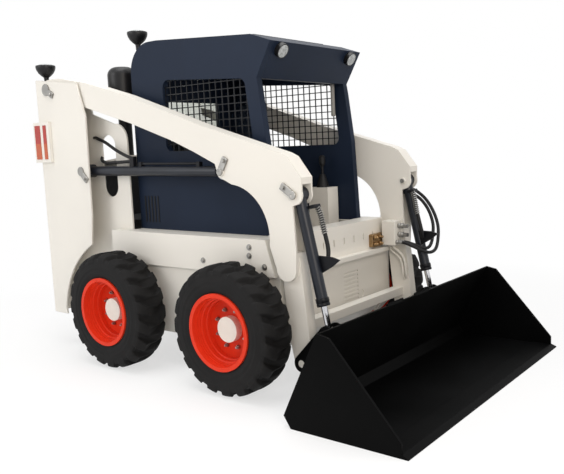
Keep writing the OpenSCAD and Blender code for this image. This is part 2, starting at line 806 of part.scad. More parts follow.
// One arm on the left side
module arm() {
    difference() {
        union() {
            slab(arm_in, arm_out) arm_outline();
            slab(arm_in, leg_out) leg_outline();
        }
        slab(arm_in - over, arm_out + over) translate(pivot) circle(d = pivot_pin_d);
        // Open underside round the lift rod eye
        slab(arm_in + arm_plate, arm_out - arm_plate)
            polygon([[on_arm([lift_slot_back_share, 0])[0], lift_rod_h - bend_r],
                [on_arm([lift_slot_back_share, 0])[0], lift_rod_h + lift_eye_r + 2 * eye_gap],
                [lift_rod_x, lift_rod_h + lift_eye_r + 2 * eye_gap], [on_arm([lift_slot_front_share,
                    0])[0], lift_rod_h + lift_eye_r / 2],
                [on_arm([lift_slot_front_share, 0])[0], lift_rod_h - bend_r / 2]]);
        // Open front round the tilt barrel
        slab(arm_in + arm_plate, arm_out - arm_plate) polygon([[on_arm([tilt_slot_back_share, 0])[0],
            on_arm([0, tilt_slot_low_share])[1]],
            [on_arm([tilt_slot_back_share, 0])[0], tilt_base_h + tilt_lug_r],
                [tilt_base_x + 2 * tilt_lug_r, tilt_base_h + tilt_lug_r],
            [tilt_base_x + 2 * tilt_lug_r, on_arm([0, tilt_slot_low_share])[1]]]);
    }
    // Tilt pin, lift pin caps and bucket pin
    crossbar(tilt_base, tilt_pin_d / 2, arm_in - pin_head, arm_out + pin_head);
    for (y = [arm_in - pin_head, arm_out]) crossbar(lift_end, pin_head_d / 3, y, y + pin_head);
    crossbar(bucket_pin, bucket_pin_d / 2, arm_in - lug_gap - lug_plate - pin_head / 2,
        leg_out + lug_gap + lug_plate);
}
tilt_pin_d = 40;
module arm_right() {
    color(white) placed() mirror([0, 1, 0]) arm();
}
module arm_left() {
    color(white) placed() arm();
}
cross_depth = 70;
cross_h = 52;
cross_front = 1430;
cross_low = 365;
module arm_cross_tube() {
    color(white) placed() block([cross_front - cross_depth, -arm_in, cross_low], [cross_front, arm_in,
        cross_low + cross_h]);
}

// Auxiliary hydraulic block and quick couplers on the left arm
aux_block = [100, 90, 120];
aux_back = 1330;
aux_low = 760;
aux_pipe_d = 26;
aux_out = 75;
module aux_couplers() {
    color(steel) placed() {
        block([aux_back, arm_in - aux_block[1], aux_low], [aux_back + aux_block[0], arm_in,
            aux_low + aux_block[2]]);
        for (share = [0.25, 0.75]) translate([aux_back + aux_block[0], arm_in - aux_block[1] / 2,
            aux_low + share * aux_block[2]])
            rotate([0, 90, 0]) cylinder(d = aux_pipe_d, h = aux_out);
    }
}

// Cylinders, each drawn along +X from its base pin and then aimed at its rod pin
eye_w = arm_slot - 2 * eye_gap;
module aimed(base, end) {
    translate([base[0], arm_mid, base[1]]) rotate([0, -aim(base, end), 0]) children();
}
module barrel(length, d, rod_d, eye_r, pin_d) {
    difference() {
        union() {
            rotate([0, 90, 0]) cylinder(d = d, h = length);
            rotate([-90, 0, 0]) translate([0, 0, -eye_w / 2]) cylinder(r = eye_r, h = eye_w);
        }
        translate([2 * eye_r, 0, 0]) rotate([0, 90, 0]) cylinder(r = rod_d / 2 + run_gap, h = length);
        rotate([-90, 0, 0]) translate([0, 0, -eye_w]) cylinder(d = pin_d, h = 2 * eye_w);
        // Flats beside the eye keep the barrel end inside the lug
        for (s = [-1, 1]) translate([0, s * eye_w, 0]) cube([2 * eye_r, eye_w, 4 * eye_r], center = true);
    }
}
module rod(pins, length, d, eye_r, width) {
    translate([pins - length, 0, 0]) rotate([0, 90, 0]) cylinder(d = d, h = length - eye_r / 2);
    translate([pins, -width / 2, 0]) rotate([-90, 0, 0]) cylinder(r = eye_r, h = width);
}
lift_pins = norm(lift_end - lift_base);
lift_barrel_l = lift_pins - lift_eye_r - over;
lift_rod_share = 0.68;
lift_rod_l = lift_pins * lift_rod_share;
tilt_pins = norm(tilt_end - tilt_base);
tilt_rod_eye_r = 30;
tilt_eye_w = 2 * (leg_out + lug_gap - arm_mid - eye_gap);
tilt_barrel_share = 0.805;
tilt_barrel_l = tilt_pins * tilt_barrel_share;
tilt_rod_share = 0.74;
tilt_rod_l = tilt_pins * tilt_rod_share;
module lift_barrel() {
    color(black) aimed(lift_base, lift_end) barrel(lift_barrel_l, lift_barrel_d, lift_rod_d, lift_eye_r,
        lift_pin_d);
}
module lift_rod() {
    color(steel) aimed(lift_base, lift_end) rod(lift_pins, lift_rod_l, lift_rod_d, lift_eye_r, eye_w);
}
module tilt_barrel() {
    color(black) aimed(tilt_base, tilt_end) barrel(tilt_barrel_l, tilt_barrel_d, tilt_rod_d, tilt_eye_r,
        tilt_pin_d + 2 * run_gap);
}
module tilt_rod() {
    color(steel) aimed(tilt_base, tilt_end) rod(tilt_pins, tilt_rod_l, tilt_rod_d, tilt_rod_eye_r,
        tilt_eye_w);
}
module lift_barrel_right() {
    placed() mirror([0, 1, 0]) lift_barrel();
}
module lift_barrel_left() {
    placed() lift_barrel();
}
module lift_rod_right() {
    placed() mirror([0, 1, 0]) lift_rod();
}
module lift_rod_left() {
    placed() lift_rod();
}
module tilt_barrel_right() {
    placed() mirror([0, 1, 0]) tilt_barrel();
}
module tilt_barrel_left() {
    placed() tilt_barrel();
}
module tilt_rod_right() {
    placed() mirror([0, 1, 0]) tilt_rod();
}
module tilt_rod_left() {
    placed() tilt_rod();
}

// Bucket
bucket_half = bucket_w / 2;
heel_h = 64;
heel_flat = 43;
bucket_lean = 226;
bucket_lip = 72;
side_front = 2300;
side_low = 70;
edge_back = 2180;
edge_nose = 6;
edge_bevel = 36;
function bucket_back(h) = bucket_heel + bucket_lean * (h - heel_h) / (bucket_h - heel_h);
module bucket_shell() {
    t = bucket_plate;
    color(black) placed() {
        slab(-bucket_half + t, bucket_half - t) polygon([[bucket_heel + heel_flat, 0], [bucket_heel,
            heel_h], [bucket_back(bucket_h), bucket_h],
            [bucket_back(bucket_h) + t, bucket_h], [bucket_heel + t * 1.1, heel_h + t / 3],
                [bucket_heel + heel_flat + t / 2, t],
            [edge_back, t], [edge_back, 0]]);
        both_sides() slab(bucket_half - t, bucket_half) polygon([[bucket_heel + heel_flat, 0],
            [bucket_heel, heel_h], [bucket_back(bucket_h), bucket_h],
            [bucket_back(bucket_h) + bucket_lip, bucket_h - t], [side_front, side_low], [side_front,
                edge_plate], [edge_back, edge_plate], [edge_back, 0]]);
    }
}
module bucket_edge() {
    color(black) placed() slab(-bucket_half, bucket_half) polygon([[edge_back, 0], [bucket_tip, 0],
        [bucket_tip, edge_nose],
        [bucket_tip - edge_bevel, edge_plate], [edge_back, edge_plate]]);
}
lug_pin_r = 50;
lug_rod_r = 46;
lug_low_share = 0.1;
lug_top_shares = [0.93, 0.6];
frame_bar = 40;
frame_bar_shares = [[0.04, 0.16], [0.83, 0.95]];
function back_at(share) = [bucket_back(heel_h + share * (bucket_h - heel_h)),
    heel_h + share * (bucket_h - heel_h)];
module lug_outline(top_share) {
    turn = aim(bucket_pin, tilt_end);
    difference() {
        polygon(concat([back_at(lug_low_share)], arc(bucket_pin, lug_pin_r, 270, turn + 90, 10),
            arc(tilt_end, lug_rod_r, turn + 90, 60, 8),
            [back_at(top_share)]));
        translate(bucket_pin) circle(d = bucket_pin_d + 2 * run_gap);
    }
}
module bucket_coupler() {
    low = arm_in - lug_gap - lug_plate;
    high = leg_out + lug_gap;
    color(black) placed() {
        both_sides() {
            slab(low, low + lug_plate) lug_outline(lug_top_shares[0]);
            slab(high, high + lug_plate) lug_outline(lug_top_shares[1]);
        }
        for (s = frame_bar_shares) slab(-low, low) polygon([back_at(s[0]), back_at(s[1]),
            back_at(s[1]) - [frame_bar, 0], back_at(s[0]) - [frame_bar, 0]]);
    }
}

// Rear door with louvres
door_t = 36;
door_low = 470;
door_gap = 8;
door_slots = 12;
door_slot = [640, 16];
door_pitch = 44;
door_slot_low = 640;
module rear_door() {
    right = door_gap + tub_wall - tub_half;
    color(white) placed() difference() {
        union() {
            block([-frame_back, right, door_low], [-frame_back + door_t, hinge_y - hinge_knuckle_d / 2,
                hood_h - door_gap]);
            for (h = hinge_heights) {
                translate([hinge_x, hinge_y, h]) cylinder(d = hinge_knuckle_d, h = hinge_knuckle);
                block([hinge_x - hinge_knuckle_d / 2, hinge_y - hinge_strap, h], [-frame_back, hinge_y,
                    h + hinge_knuckle]);
            }
        }
        for (h = hinge_heights) translate([hinge_x, hinge_y,
            h - over]) cylinder(r = hinge_pin_d / 2 + run_gap, h = hinge_knuckle + 2 * over);
        for (i = [0:door_slots - 1]) block([-frame_back - over, -door_slot[0] / 2,
            door_slot_low + i * door_pitch],
            [-frame_back + door_t + over, door_slot[0] / 2, door_slot_low + i * door_pitch + door_slot[1]]);
    }
}

// Wheels, each drawn about its own axle with the outer face towards +Z
bead_gap = 0.3;
tyre_r = tyre_d / 2;
rim_r = rim_d / 2;
rim_lip = 14;
rim_wall = 10;
rim_seat_r = rim_r - rim_lip;
bead_in = 30;
shoulder_share = 0.86;
disc_t = 14;
module tyre() {
    s = shoulder_share;
    color(black) rotate_extrude($fn = 96) polygon([[rim_seat_r + bead_gap, -tyre_w + bead_in],
        [rim_r + bead_gap, -tyre_w + bead_in], [rim_r + rim_lip, -tyre_w + bead_in / 2],
        [tyre_r * s, -tyre_w], [tyre_r * (1 + s) / 2, -tyre_w + bead_in / 4], [tyre_r,
            -tyre_w + bead_in], [tyre_r, -bead_in],
        [tyre_r * (1 + s) / 2, -bead_in / 4], [tyre_r * s, 0], [rim_r + rim_lip, -bead_in / 2],
            [rim_r + bead_gap, -bead_in], [rim_seat_r + bead_gap, -bead_in]]);
}
module rim() {
    w = rim_wall;
    color(red) rotate_extrude($fn = 96) polygon([[rim_r, -bead_in + bead_gap], [rim_r,
        -bead_in / 2 - bead_gap], [rim_seat_r - w, -bead_in / 2 - bead_gap],
        [rim_seat_r - w, -rim_dish / 2], [rim_seat_r - 2 * w, -rim_dish / 2 - w], [rim_seat_r - 2 * w,
            -rim_dish - bead_in], [hub_d / 2, -rim_dish - bead_in],
        [hub_d / 2, -rim_dish - bead_in - disc_t], [rim_seat_r - 2 * w, -rim_dish - bead_in - disc_t],
            [rim_seat_r - w, -tyre_w + bead_in / 2 + bead_gap],
        [rim_r, -tyre_w + bead_in / 2 + bead_gap], [rim_r, -tyre_w + bead_in - bead_gap], [rim_seat_r,
            -tyre_w + bead_in - bead_gap], [rim_seat_r, -bead_in + bead_gap]]);
}
hub_out = 46;
hub_flange_d = 250;
hub_flange = 16;
module axle() {
    seat = -rim_dish - bead_in - disc_t;
    color(white) {
        translate([0, 0, seat]) cylinder(d = hub_d - 2 * run_gap, h = disc_t + hub_out);
        translate([0, 0, seat - hub_flange]) cylinder(d = hub_flange_d, h = hub_flange);
        translate([0, 0, axle_in - wheels_w / 2 + tub_wall]) cylinder(d = axle_shaft_d,
            h = seat - hub_flange - (axle_in - wheels_w / 2 + tub_wall));
    }
}
// Places a wheel on the left side
module on_axle(x) {
    placed() translate([x, wheels_w / 2, axle_h]) rotate([-90, 0, 0]) children();
}
module on_right(x) {
    placed() mirror([0, 1, 0]) translate([x, wheels_w / 2, axle_h]) rotate([-90, 0, 0]) children();
}
module tyre_front_right() { on_right(wheelbase) tyre(); }
module tyre_front_left() { on_axle(wheelbase) tyre(); }
module tyre_rear_right() { on_right(0) tyre(); }
module tyre_rear_left() { on_axle(0) tyre(); }
module rim_front_right() { on_right(wheelbase) rim(); }
module rim_front_left() { on_axle(wheelbase) rim(); }
module rim_rear_right() { on_right(0) rim(); }
module rim_rear_left() { on_axle(0) rim(); }
module axle_front_right() { on_right(wheelbase) axle(); }
module axle_front_left() { on_axle(wheelbase) axle(); }
module axle_rear_right() { on_right(0) axle(); }
module axle_rear_left() { on_axle(0) axle(); }

frame_tub();
chain_cases();
front_panel();
tower_right();
tower_left();
engine_block();
engine_hood();
air_cleaner();
tail_lenses();
work_lamps();
lamp_lenses();
cab_side_right();
cab_side_left();
cab_roof();
cab_rear();
side_screens();
rear_window();
seat_pan();
seat_pads();
consoles();
joysticks();
pivot_pins();
arm_right();
arm_left();
arm_cross_tube();
aux_couplers();
lift_barrel_right();
lift_barrel_left();
lift_rod_right();
lift_rod_left();
tilt_barrel_right();
tilt_barrel_left();
tilt_rod_right();
tilt_rod_left();
bucket_shell();
bucket_edge();
bucket_coupler();
rear_door();
seat_bar();
tyre_front_right();
tyre_front_left();
tyre_rear_right();
tyre_rear_left();
rim_front_right();
rim_front_left();
rim_rear_right();
rim_rear_left();
axle_front_right();
axle_front_left();
axle_rear_right();
axle_rear_left();
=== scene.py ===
import math

import bmesh
import bpy
import numpy as np
from mathutils import Matrix, Vector


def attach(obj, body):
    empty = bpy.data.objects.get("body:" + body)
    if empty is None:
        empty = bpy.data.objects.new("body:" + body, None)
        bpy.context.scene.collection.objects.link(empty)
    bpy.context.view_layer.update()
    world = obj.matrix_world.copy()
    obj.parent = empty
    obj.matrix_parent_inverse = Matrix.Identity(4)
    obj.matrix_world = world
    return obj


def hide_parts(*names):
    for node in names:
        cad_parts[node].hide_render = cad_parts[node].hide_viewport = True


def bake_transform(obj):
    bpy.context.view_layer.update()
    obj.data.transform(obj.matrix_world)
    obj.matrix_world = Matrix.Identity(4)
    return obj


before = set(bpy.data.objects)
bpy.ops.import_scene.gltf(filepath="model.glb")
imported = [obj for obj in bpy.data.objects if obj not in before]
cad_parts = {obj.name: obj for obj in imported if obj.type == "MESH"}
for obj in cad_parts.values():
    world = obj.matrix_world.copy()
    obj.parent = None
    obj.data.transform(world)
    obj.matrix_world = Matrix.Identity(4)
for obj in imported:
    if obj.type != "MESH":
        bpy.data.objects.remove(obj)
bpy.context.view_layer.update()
bpy.context.scene.view_settings.view_transform = "Standard"


# Frame, towers, sills, arms, hood and rear door
# Welded steel plate, sprayed cream white over primer. The paint is satin and a little
# uneven, with a fine orange peel from the spray gun. Pins and couplers are zinc plated.
def blank_finish(name):
    """A new material: itself, its node tree, its shader and the piece's Object coordinates."""
    mat = bpy.data.materials.new(name)
    mat.use_nodes = True
    tree = mat.node_tree
    place = tree.nodes.new("ShaderNodeTexCoord").outputs["Object"]
    return mat, tree, tree.nodes["Principled BSDF"], place


def noise(tree, place, scale, detail=2.0):
    """A cloudy value from 0 to 1 over the piece's own place."""
    cloud = tree.nodes.new("ShaderNodeTexNoise")
    cloud.inputs["Scale"].default_value = scale
    cloud.inputs["Detail"].default_value = detail
    tree.links.new(place, cloud.inputs["Vector"])
    return cloud.outputs["Fac"]


def ranged(tree, value, source=(0.0, 1.0), target=(0.0, 1.0)):
    """Carries a value from one range to another, and stops it at both ends."""
    span = tree.nodes.new("ShaderNodeMapRange")
    for label, number in zip(("From Min", "From Max", "To Min", "To Max"), (*source, *target)):
        span.inputs[label].default_value = number
    tree.links.new(value, span.inputs["Value"])
    return span.outputs["Result"]


def two_tones(tree, value, low, high, start=0.0, end=1.0):
    """Goes from one colour to the other while a value rises from start to end."""
    shade = tree.nodes.new("ShaderNodeValToRGB")
    first, last = shade.color_ramp.elements
    first.position, last.position = start, end
    first.color, last.color = (*low, 1.0), (*high, 1.0)
    tree.links.new(value, shade.inputs["Fac"])
    return shade.outputs["Color"]


def bumped(tree, shader, height, strength, distance):
    """Tilts the shading as if the surface rose and fell with a height."""
    bump = tree.nodes.new("ShaderNodeBump")
    bump.inputs["Strength"].default_value = strength
    bump.inputs["Distance"].default_value = distance
    tree.links.new(height, bump.inputs["Height"])
    tree.links.new(bump.outputs["Normal"], shader.inputs["Normal"])
    return bump


TONE_FROM, TONE_TO = 0.35, 0.65
SHEEN_LOW_SHARE, SHEEN_HIGH_SHARE = 0.82, 1.18
PEEL_STRENGTH, PEEL_UNIT = 0.25, 0.01
COAT_ROUGH = 0.12


def sprayed(name, colour, rough, tone=0.9, patch=3.0, peel=260.0, depth=0.02, coat=0.0,
            metal=0.0, edge=0.0, shine=0.5):
    """Sprayed or bare metal: two tones of one colour mixed by a slow noise,
    roughness moved up and down by the same noise, a fine bump for the peel,
    and edges broken by the given radius so that they catch the light."""
    mat, tree, shader, place = blank_finish(name)
    shader.inputs["Metallic"].default_value = metal
    shader.inputs["Specular IOR Level"].default_value = shine
    shader.inputs["Coat Weight"].default_value = coat
    shader.inputs["Coat Roughness"].default_value = COAT_ROUGH
    cloud = noise(tree, place, patch, detail=5.0)
    darker = [c * tone for c in colour]
    shade = two_tones(tree, cloud, darker, colour, TONE_FROM, TONE_TO)
    tree.links.new(shade, shader.inputs["Base Color"])
    sheen = (rough * SHEEN_LOW_SHARE, min(1.0, rough * SHEEN_HIGH_SHARE))
    tree.links.new(ranged(tree, cloud, target=sheen), shader.inputs["Roughness"])
    grain = noise(tree, place, peel)
    bump = bumped(tree, shader, grain, PEEL_STRENGTH, depth * PEEL_UNIT)
    if edge > 0:
        broken = tree.nodes.new("ShaderNodeBevel")
        broken.samples = 4
        broken.inputs["Radius"].default_value = edge
        tree.links.new(broken.outputs["Normal"], bump.inputs["Normal"])
    return mat


def coat_nodes(mat, *names):
    """Gives CAD nodes one material in place of the plain colour that they came with."""
    for name in names:
        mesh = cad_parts[name].data
        mesh.materials.clear()
        mesh.materials.append(mat)


cream = sprayed("cream_paint", (0.80, 0.77, 0.71), 0.42, tone=0.96, patch=1.6, edge=0.004,
                shine=0.35)
coat_nodes(cream, "frame_tub", "chain_cases", "front_panel", "tower_right", "tower_left",
           "engine_hood", "rear_door", "arm_right", "arm_left", "arm_cross_tube", "consoles")
zinc = sprayed("zinc_plate", (0.40, 0.39, 0.37), 0.38, tone=0.75, patch=14.0, peel=400.0,
               metal=1.0)
coat_nodes(zinc, "pivot_pins", "aux_couplers")


# Engine block
# Cast iron, sprayed dark grey over the rough skin of the casting. It is bolted to the
# frame under the hood, and only little of it shows.
iron = sprayed("engine_iron", (0.05, 0.052, 0.056), 0.6, tone=0.7, patch=9.0, peel=90.0,
               depth=0.08)
coat_nodes(iron, "engine_block")


# Cab shell
# Pressed and welded sheet steel, sprayed dark navy before it is set on the frame.
# The side screens are welded bars, sprayed black. The rear window is plain glass.
navy = sprayed("navy_paint", (0.013, 0.021, 0.041), 0.42, tone=0.8, patch=2.2, edge=0.005,
               shine=0.10)
coat_nodes(navy, "cab_side_right", "cab_side_left", "cab_roof", "cab_rear")
black_steel = sprayed("black_steel", (0.007, 0.0075, 0.010), 0.38, tone=0.7, patch=5.0,
                      edge=0.0015, shine=0.18)
coat_nodes(black_steel, "side_screens", "seat_pan", "seat_bar")
GLASS_IOR, DUST_SCALE = 1.45, 7.0
DUST_LOW_SHARE, DUST_HIGH_SHARE = 0.4, 1.6


def clear_pane(name, colour, rough):
    """Glass that lets light through, with a faint smear of dust in its roughness."""
    mat, tree, shader, place = blank_finish(name)
    shader.inputs["Base Color"].default_value = (*colour, 1.0)
    shader.inputs["Transmission Weight"].default_value = 1.0
    shader.inputs["IOR"].default_value = GLASS_IOR
    dust = noise(tree, place, DUST_SCALE)
    smear = (rough * DUST_LOW_SHARE, rough * DUST_HIGH_SHARE)
    tree.links.new(ranged(tree, dust, target=smear), shader.inputs["Roughness"])
    return mat


coat_nodes(clear_pane("cab_glass", (0.80, 0.86, 0.86), 0.03), "rear_window")


# Lamps and air cleaner
# Moulded black plastic, with pressed prism lenses on the work lamps, and red over amber
# lenses at the back. The lamps are screwed to towers and cab, the cleaner to the hood.
moulded = sprayed("black_moulding", (0.009, 0.009, 0.010), 0.40, tone=0.75, patch=8.0,
                  peel=700.0, depth=0.05, shine=0.3)
coat_nodes(moulded, "air_cleaner", "work_lamps")
prism = sprayed("lamp_prisms", (0.46, 0.48, 0.48), 0.22, tone=0.55, patch=55.0, peel=140.0,
                depth=0.5, coat=0.3, metal=0.25)
coat_nodes(prism, "lamp_lenses")
LENS_ROUGH, LENS_COAT, LENS_JOINT = 0.18, 0.15, 0.004
RIB_SCALE, RIB_STRENGTH, RIB_DEPTH = 60.0, 0.5, 0.001


def ribbed_lens(name, top, low, level):
    """Lens plastic in two colours, split at one height, with fine ribs for its prisms."""
    mat, tree, shader, place = blank_finish(name)
    shader.inputs["Roughness"].default_value = LENS_ROUGH
    shader.inputs["Coat Weight"].default_value = LENS_COAT
    axes = tree.nodes.new("ShaderNodeSeparateXYZ")
    tree.links.new(place, axes.inputs["Vector"])
    above = ranged(tree, axes.outputs["Z"], source=(level - LENS_JOINT, level + LENS_JOINT))
    tree.links.new(two_tones(tree, above, low, top), shader.inputs["Base Color"])
    ribs = tree.nodes.new("ShaderNodeTexWave")
    ribs.bands_direction = "Z"
    ribs.inputs["Scale"].default_value = RIB_SCALE
    tree.links.new(place, ribs.inputs["Vector"])
    bumped(tree, shader, ribs.outputs["Fac"], RIB_STRENGTH, RIB_DEPTH)
    return mat


LENS_RED, LENS_AMBER, LENS_SPLIT_Z = (0.40, 0.020, 0.010), (0.50, 0.085, 0.018), 1.50
coat_nodes(ribbed_lens("tail_lens", LENS_RED, LENS_AMBER, LENS_SPLIT_Z), "tail_lenses")


# Cylinders
# Honed steel tube sprayed blue black, with hard chromed rods that run through a gland.
# A pin holds each barrel at its base, and a second pin holds the eye of its rod.
barrel_paint = sprayed("barrel_paint", (0.011, 0.014, 0.022), 0.32, tone=0.7, patch=5.0,
                       edge=0.0015, shine=0.35)
coat_nodes(barrel_paint, "lift_barrel_right", "lift_barrel_left", "tilt_barrel_right",
           "tilt_barrel_left")
chrome = sprayed("rod_chrome", (0.62, 0.62, 0.64), 0.12, tone=0.92, patch=6.0, peel=900.0,
                 metal=1.0)
coat_nodes(chrome, "lift_rod_right", "lift_rod_left", "tilt_rod_right", "tilt_rod_left")


# Bucket
# Thick steel plate bent and welded into a scoop, sprayed black inside and out. A wear
# edge is bolted to its lip, and the coupler on its back takes the pins of the arms.
bucket_black = sprayed("bucket_paint", (0.0025, 0.0026, 0.0027), 0.52, tone=0.6, patch=2.4,
                       peel=180.0, edge=0.003, shine=0.045)
coat_nodes(bucket_black, "bucket_shell", "bucket_edge", "bucket_coupler")


# Tyres
# Moulded rubber with two staggered rows of deep lugs that lean over the shoulders.
# Each tyre is pressed on its rim and held by its beads.
TYRE_R, TYRE_W, BEAD_R, CARCASS_R = 0.385, 0.262, 0.2266, 0.356
LUGS, STEPS_A_LUG = 19, 24
WALL_FROM, WALL_TO, WALL_STEPS, TREAD_STEPS = 0.02, 0.5, 10, 44
SHOULDER_POWER, CROWN_POWER = 0.32, 0.62
WALL_SHARE, WALL_DRAWN_SHARE = 0.93, 0.09
# each ridge's height, radius and width
WALL_RIDGES = [(0.0035, 0.262, 0.005), (0.002, 0.292, 0.003)]
LUG_LEAN, STAGGER_SHARE = 0.75, 0.5
LUG_WIDTH_SHARE, LUG_FLARE_SHARE, LUG_EDGE_SHARE = 0.58, 0.08, 0.07
WEB_SHARE, WEB_FROM_TO_SHARES = 0.6, (0.66, 0.80)
MIDDLE_GAP_SHARES, LUG_FOOT_R = (0.03, 0.09), (0.318, 0.350)
STEEP, STEEP_LUG_SHARE, LUG_FADE_SHARE = 0.7, 0.45, 0.55
TOE_R, TOE_IN, HEEL_R, HEEL_IN = BEAD_R - 0.001, 0.031, 0.2128, 0.032
WHEEL_FACE, AXLE_Z = 0.900, 0.385
# each wheel's axle along the machine, and the side that it faces
WHEELS = {"front_right": (0.346, -1), "front_left": (0.346, 1),
          "rear_right": (-0.700, -1), "rear_left": (-0.700, 1)}


def ramp(x, low, high):
    """0 below low, 1 above high, and a smooth S between them."""
    t = np.clip((x - low) / (high - low), 0.0, 1.0)
    return t * t * (3.0 - 2.0 * t)


def put_mesh(name, points, faces, mat):
    """Makes a smooth object of points and faces, already placed in the row frame."""
    mesh = bpy.data.meshes.new(name)
    mesh.from_pydata(points.reshape(-1, 3).tolist(), [], faces.tolist())
    mesh.polygons.foreach_set("use_smooth", [True] * len(mesh.polygons))
    mesh.materials.append(mat)
    mesh.update()
    piece = bpy.data.objects.new(name, mesh)
    bpy.context.collection.objects.link(piece)
    return piece


def ring_faces(rows, cols, close_rows=True):
    """Quads of a grid whose columns close on themselves, and whose rows do too where asked."""
    i = np.arange(rows if close_rows else rows - 1)[:, None]
    j = np.arange(cols)[None, :]
    a = i * cols + j
    b = i * cols + (j + 1) % cols
    c = ((i + 1) % rows) * cols + (j + 1) % cols
    d = ((i + 1) % rows) * cols + j
    return np.stack([a, b, c, d], axis=-1).reshape(-1, 4)


def tyre_surface():
    """Points of one tyre about its own axle: radius, axial place and angle.
    The carcass is a squared off arch from bead to bead. Each lug lifts the
    surface along its normal where the angle, sheared by the distance from the
    middle, falls in the lug's part of the pitch."""
    phi = np.concatenate([np.linspace(WALL_FROM, WALL_TO, WALL_STEPS)[:-1],
                          np.linspace(WALL_TO, math.pi - WALL_TO, TREAD_STEPS),
                          np.linspace(math.pi - WALL_TO, math.pi - WALL_FROM, WALL_STEPS)[1:]])
    s, c = np.sin(phi), np.cos(phi)
    half, side = TYRE_W / 2, np.sign(c)
    drawn = WALL_SHARE - WALL_DRAWN_SHARE * (1 - s) ** 2
    axial = half * side * np.abs(c) ** SHOULDER_POWER * drawn
    radius = BEAD_R + (CARCASS_R - BEAD_R) * s ** CROWN_POWER
    # rim guard ridge and a moulded line on each sidewall
    ridge = sum(high * np.exp(-((radius - at) / wide) ** 2) for high, at, wide in WALL_RIDGES)
    axial = axial + side * ridge
    dr, da = np.gradient(radius), np.gradient(axial)
    length = np.hypot(dr, da)
    outwards, sideways = np.abs(da / length)[:, None], np.abs(dr / length)[:, None]
    radius, axial, side = radius[:, None], axial[:, None], side[:, None]
    turns = LUGS * STEPS_A_LUG
    theta = np.linspace(0, 2 * math.pi, turns, endpoint=False)[None, :]
    d = np.abs(axial) / half
    pitches = LUGS * theta / (2 * math.pi)
    phase = (pitches - LUG_LEAN * d + STAGGER_SHARE * (side > 0)) % 1.0
    off_middle = np.abs(phase - 0.5) * 2
    width = LUG_WIDTH_SHARE + LUG_FLARE_SHARE * d
    block = 1 - ramp(off_middle, width - LUG_EDGE_SHARE, width + LUG_EDGE_SHARE)
    lug = np.maximum(block, WEB_SHARE * ramp(d, *WEB_FROM_TO_SHARES))
    reach = ramp(d, *MIDDLE_GAP_SHARES) * ramp(radius, *LUG_FOOT_R)
    thin = np.where(sideways > STEEP, STEEP_LUG_SHARE, 1.0 - LUG_FADE_SHARE * sideways)
    lift = (TYRE_R - CARCASS_R) * lug * reach * thin
    r = radius + lift * outwards
    a = axial + lift * side * sideways
    # beads turn in under the rim flange, and the seat closes the section
    seat_r = np.array([TOE_R, HEEL_R, HEEL_R, TOE_R])
    seat_a = np.array([TOE_IN - half, HEEL_IN - half, half - HEEL_IN, half - TOE_IN])
    r = np.vstack([r, np.repeat(seat_r[:, None], turns, 1)])
    a = np.vstack([a, np.repeat(seat_a[:, None], turns, 1)])
    return r, np.clip(a, -half, half), np.repeat(theta, r.shape[0], 0)


rubber = sprayed("tyre_rubber", (0.014, 0.0137, 0.0140), 0.75, tone=0.62, patch=7.0,
                 peel=320.0, depth=0.12, shine=0.15)
coat_nodes(rubber, *["tyre_" + w for w in WHEELS])
r, a, turn = tyre_surface()
for place_name, (wheel_x, out) in WHEELS.items():
    points = np.stack([wheel_x + r * np.cos(turn), out * (WHEEL_FACE - TYRE_W / 2 + a),
                       AXLE_Z + r * np.sin(turn)], axis=-1)
    faces = ring_faces(*r.shape)
    if out > 0:
        faces = faces[:, ::-1]
    tyre = put_mesh("lug_tyre_" + place_name, points, faces, rubber)
    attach(tyre, "wheel_" + place_name)
    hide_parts("tyre_" + place_name)


# Joysticks
# Steel levers in moulded rubber boots, with rubber knobs. They are screwed to the
# consoles, and the hoses further down have the same rubber.
boot = sprayed("rubber_boot", (0.010, 0.010, 0.011), 0.55, patch=20.0, peel=500.0, depth=0.05,
               shine=0.25)
coat_nodes(boot, "joysticks")


# Rims and hubs
# Rolled steel rims with a stepped well and a pressed disc, sprayed bright red, bolted to
# cast hubs with eight nuts. The hub's end cap is cream.
rim_red = sprayed("rim_red", (0.74, 0.040, 0.013), 0.36, tone=0.88, patch=6.0, shine=0.14)
coat_nodes(rim_red, *["rim_" + w for w in WHEELS])
hub_cream = sprayed("hub_cream", (0.78, 0.75, 0.68), 0.45, tone=0.94, patch=12.0)
coat_nodes(hub_cream, *["axle_" + w for w in WHEELS])
HEXAGON = 6
NUTS, NUT_CIRCLE_R, NUT_FACE = 8, 0.114, 0.7585
NUT = [(0, 0), (0.0125, 0), (0.0125, 0.013), (0.0108, 0.0155), (0.0075, 0.0155),
       (0.0072, 0.024), (0.006, 0.026), (0, 0.026)]
RIM_STEPS = [(0.205, -0.048), (0.193, -0.048), (0.1925, -0.078), (0.184, -0.081),
             (0.1835, -0.110), (0.175, -0.113), (0.1745, -0.1425), (0.197, -0.1425),
             (0.197, -0.068), (0.205, -0.058)]
RIM_SIDES = 96
CREASE, MERGE, UPRIGHT = 40.0, 1e-6, 0.9


def turned(profile, sides, centre, axis, start=0.0):
    """A profile of (radius, height) pairs carried round an axis from its centre.
    The first and last radius are zero or nearly so, which closes the ends."""
    profile = np.asarray(profile, float)
    axis = np.asarray(axis, float) / np.linalg.norm(axis)
    u = np.cross(axis, [0.0, 0.0, 1.0] if abs(axis[2]) < UPRIGHT else [1.0, 0.0, 0.0])
    u = u / np.linalg.norm(u)
    v = np.cross(axis, u)
    th = start + np.linspace(0, 2 * math.pi, sides, endpoint=False)
    ring = np.cos(th)[:, None] * u + np.sin(th)[:, None] * v
    radius, height = profile[:, 0, None, None], profile[:, 1, None, None]
    return np.asarray(centre) + radius * ring[None] + height * axis


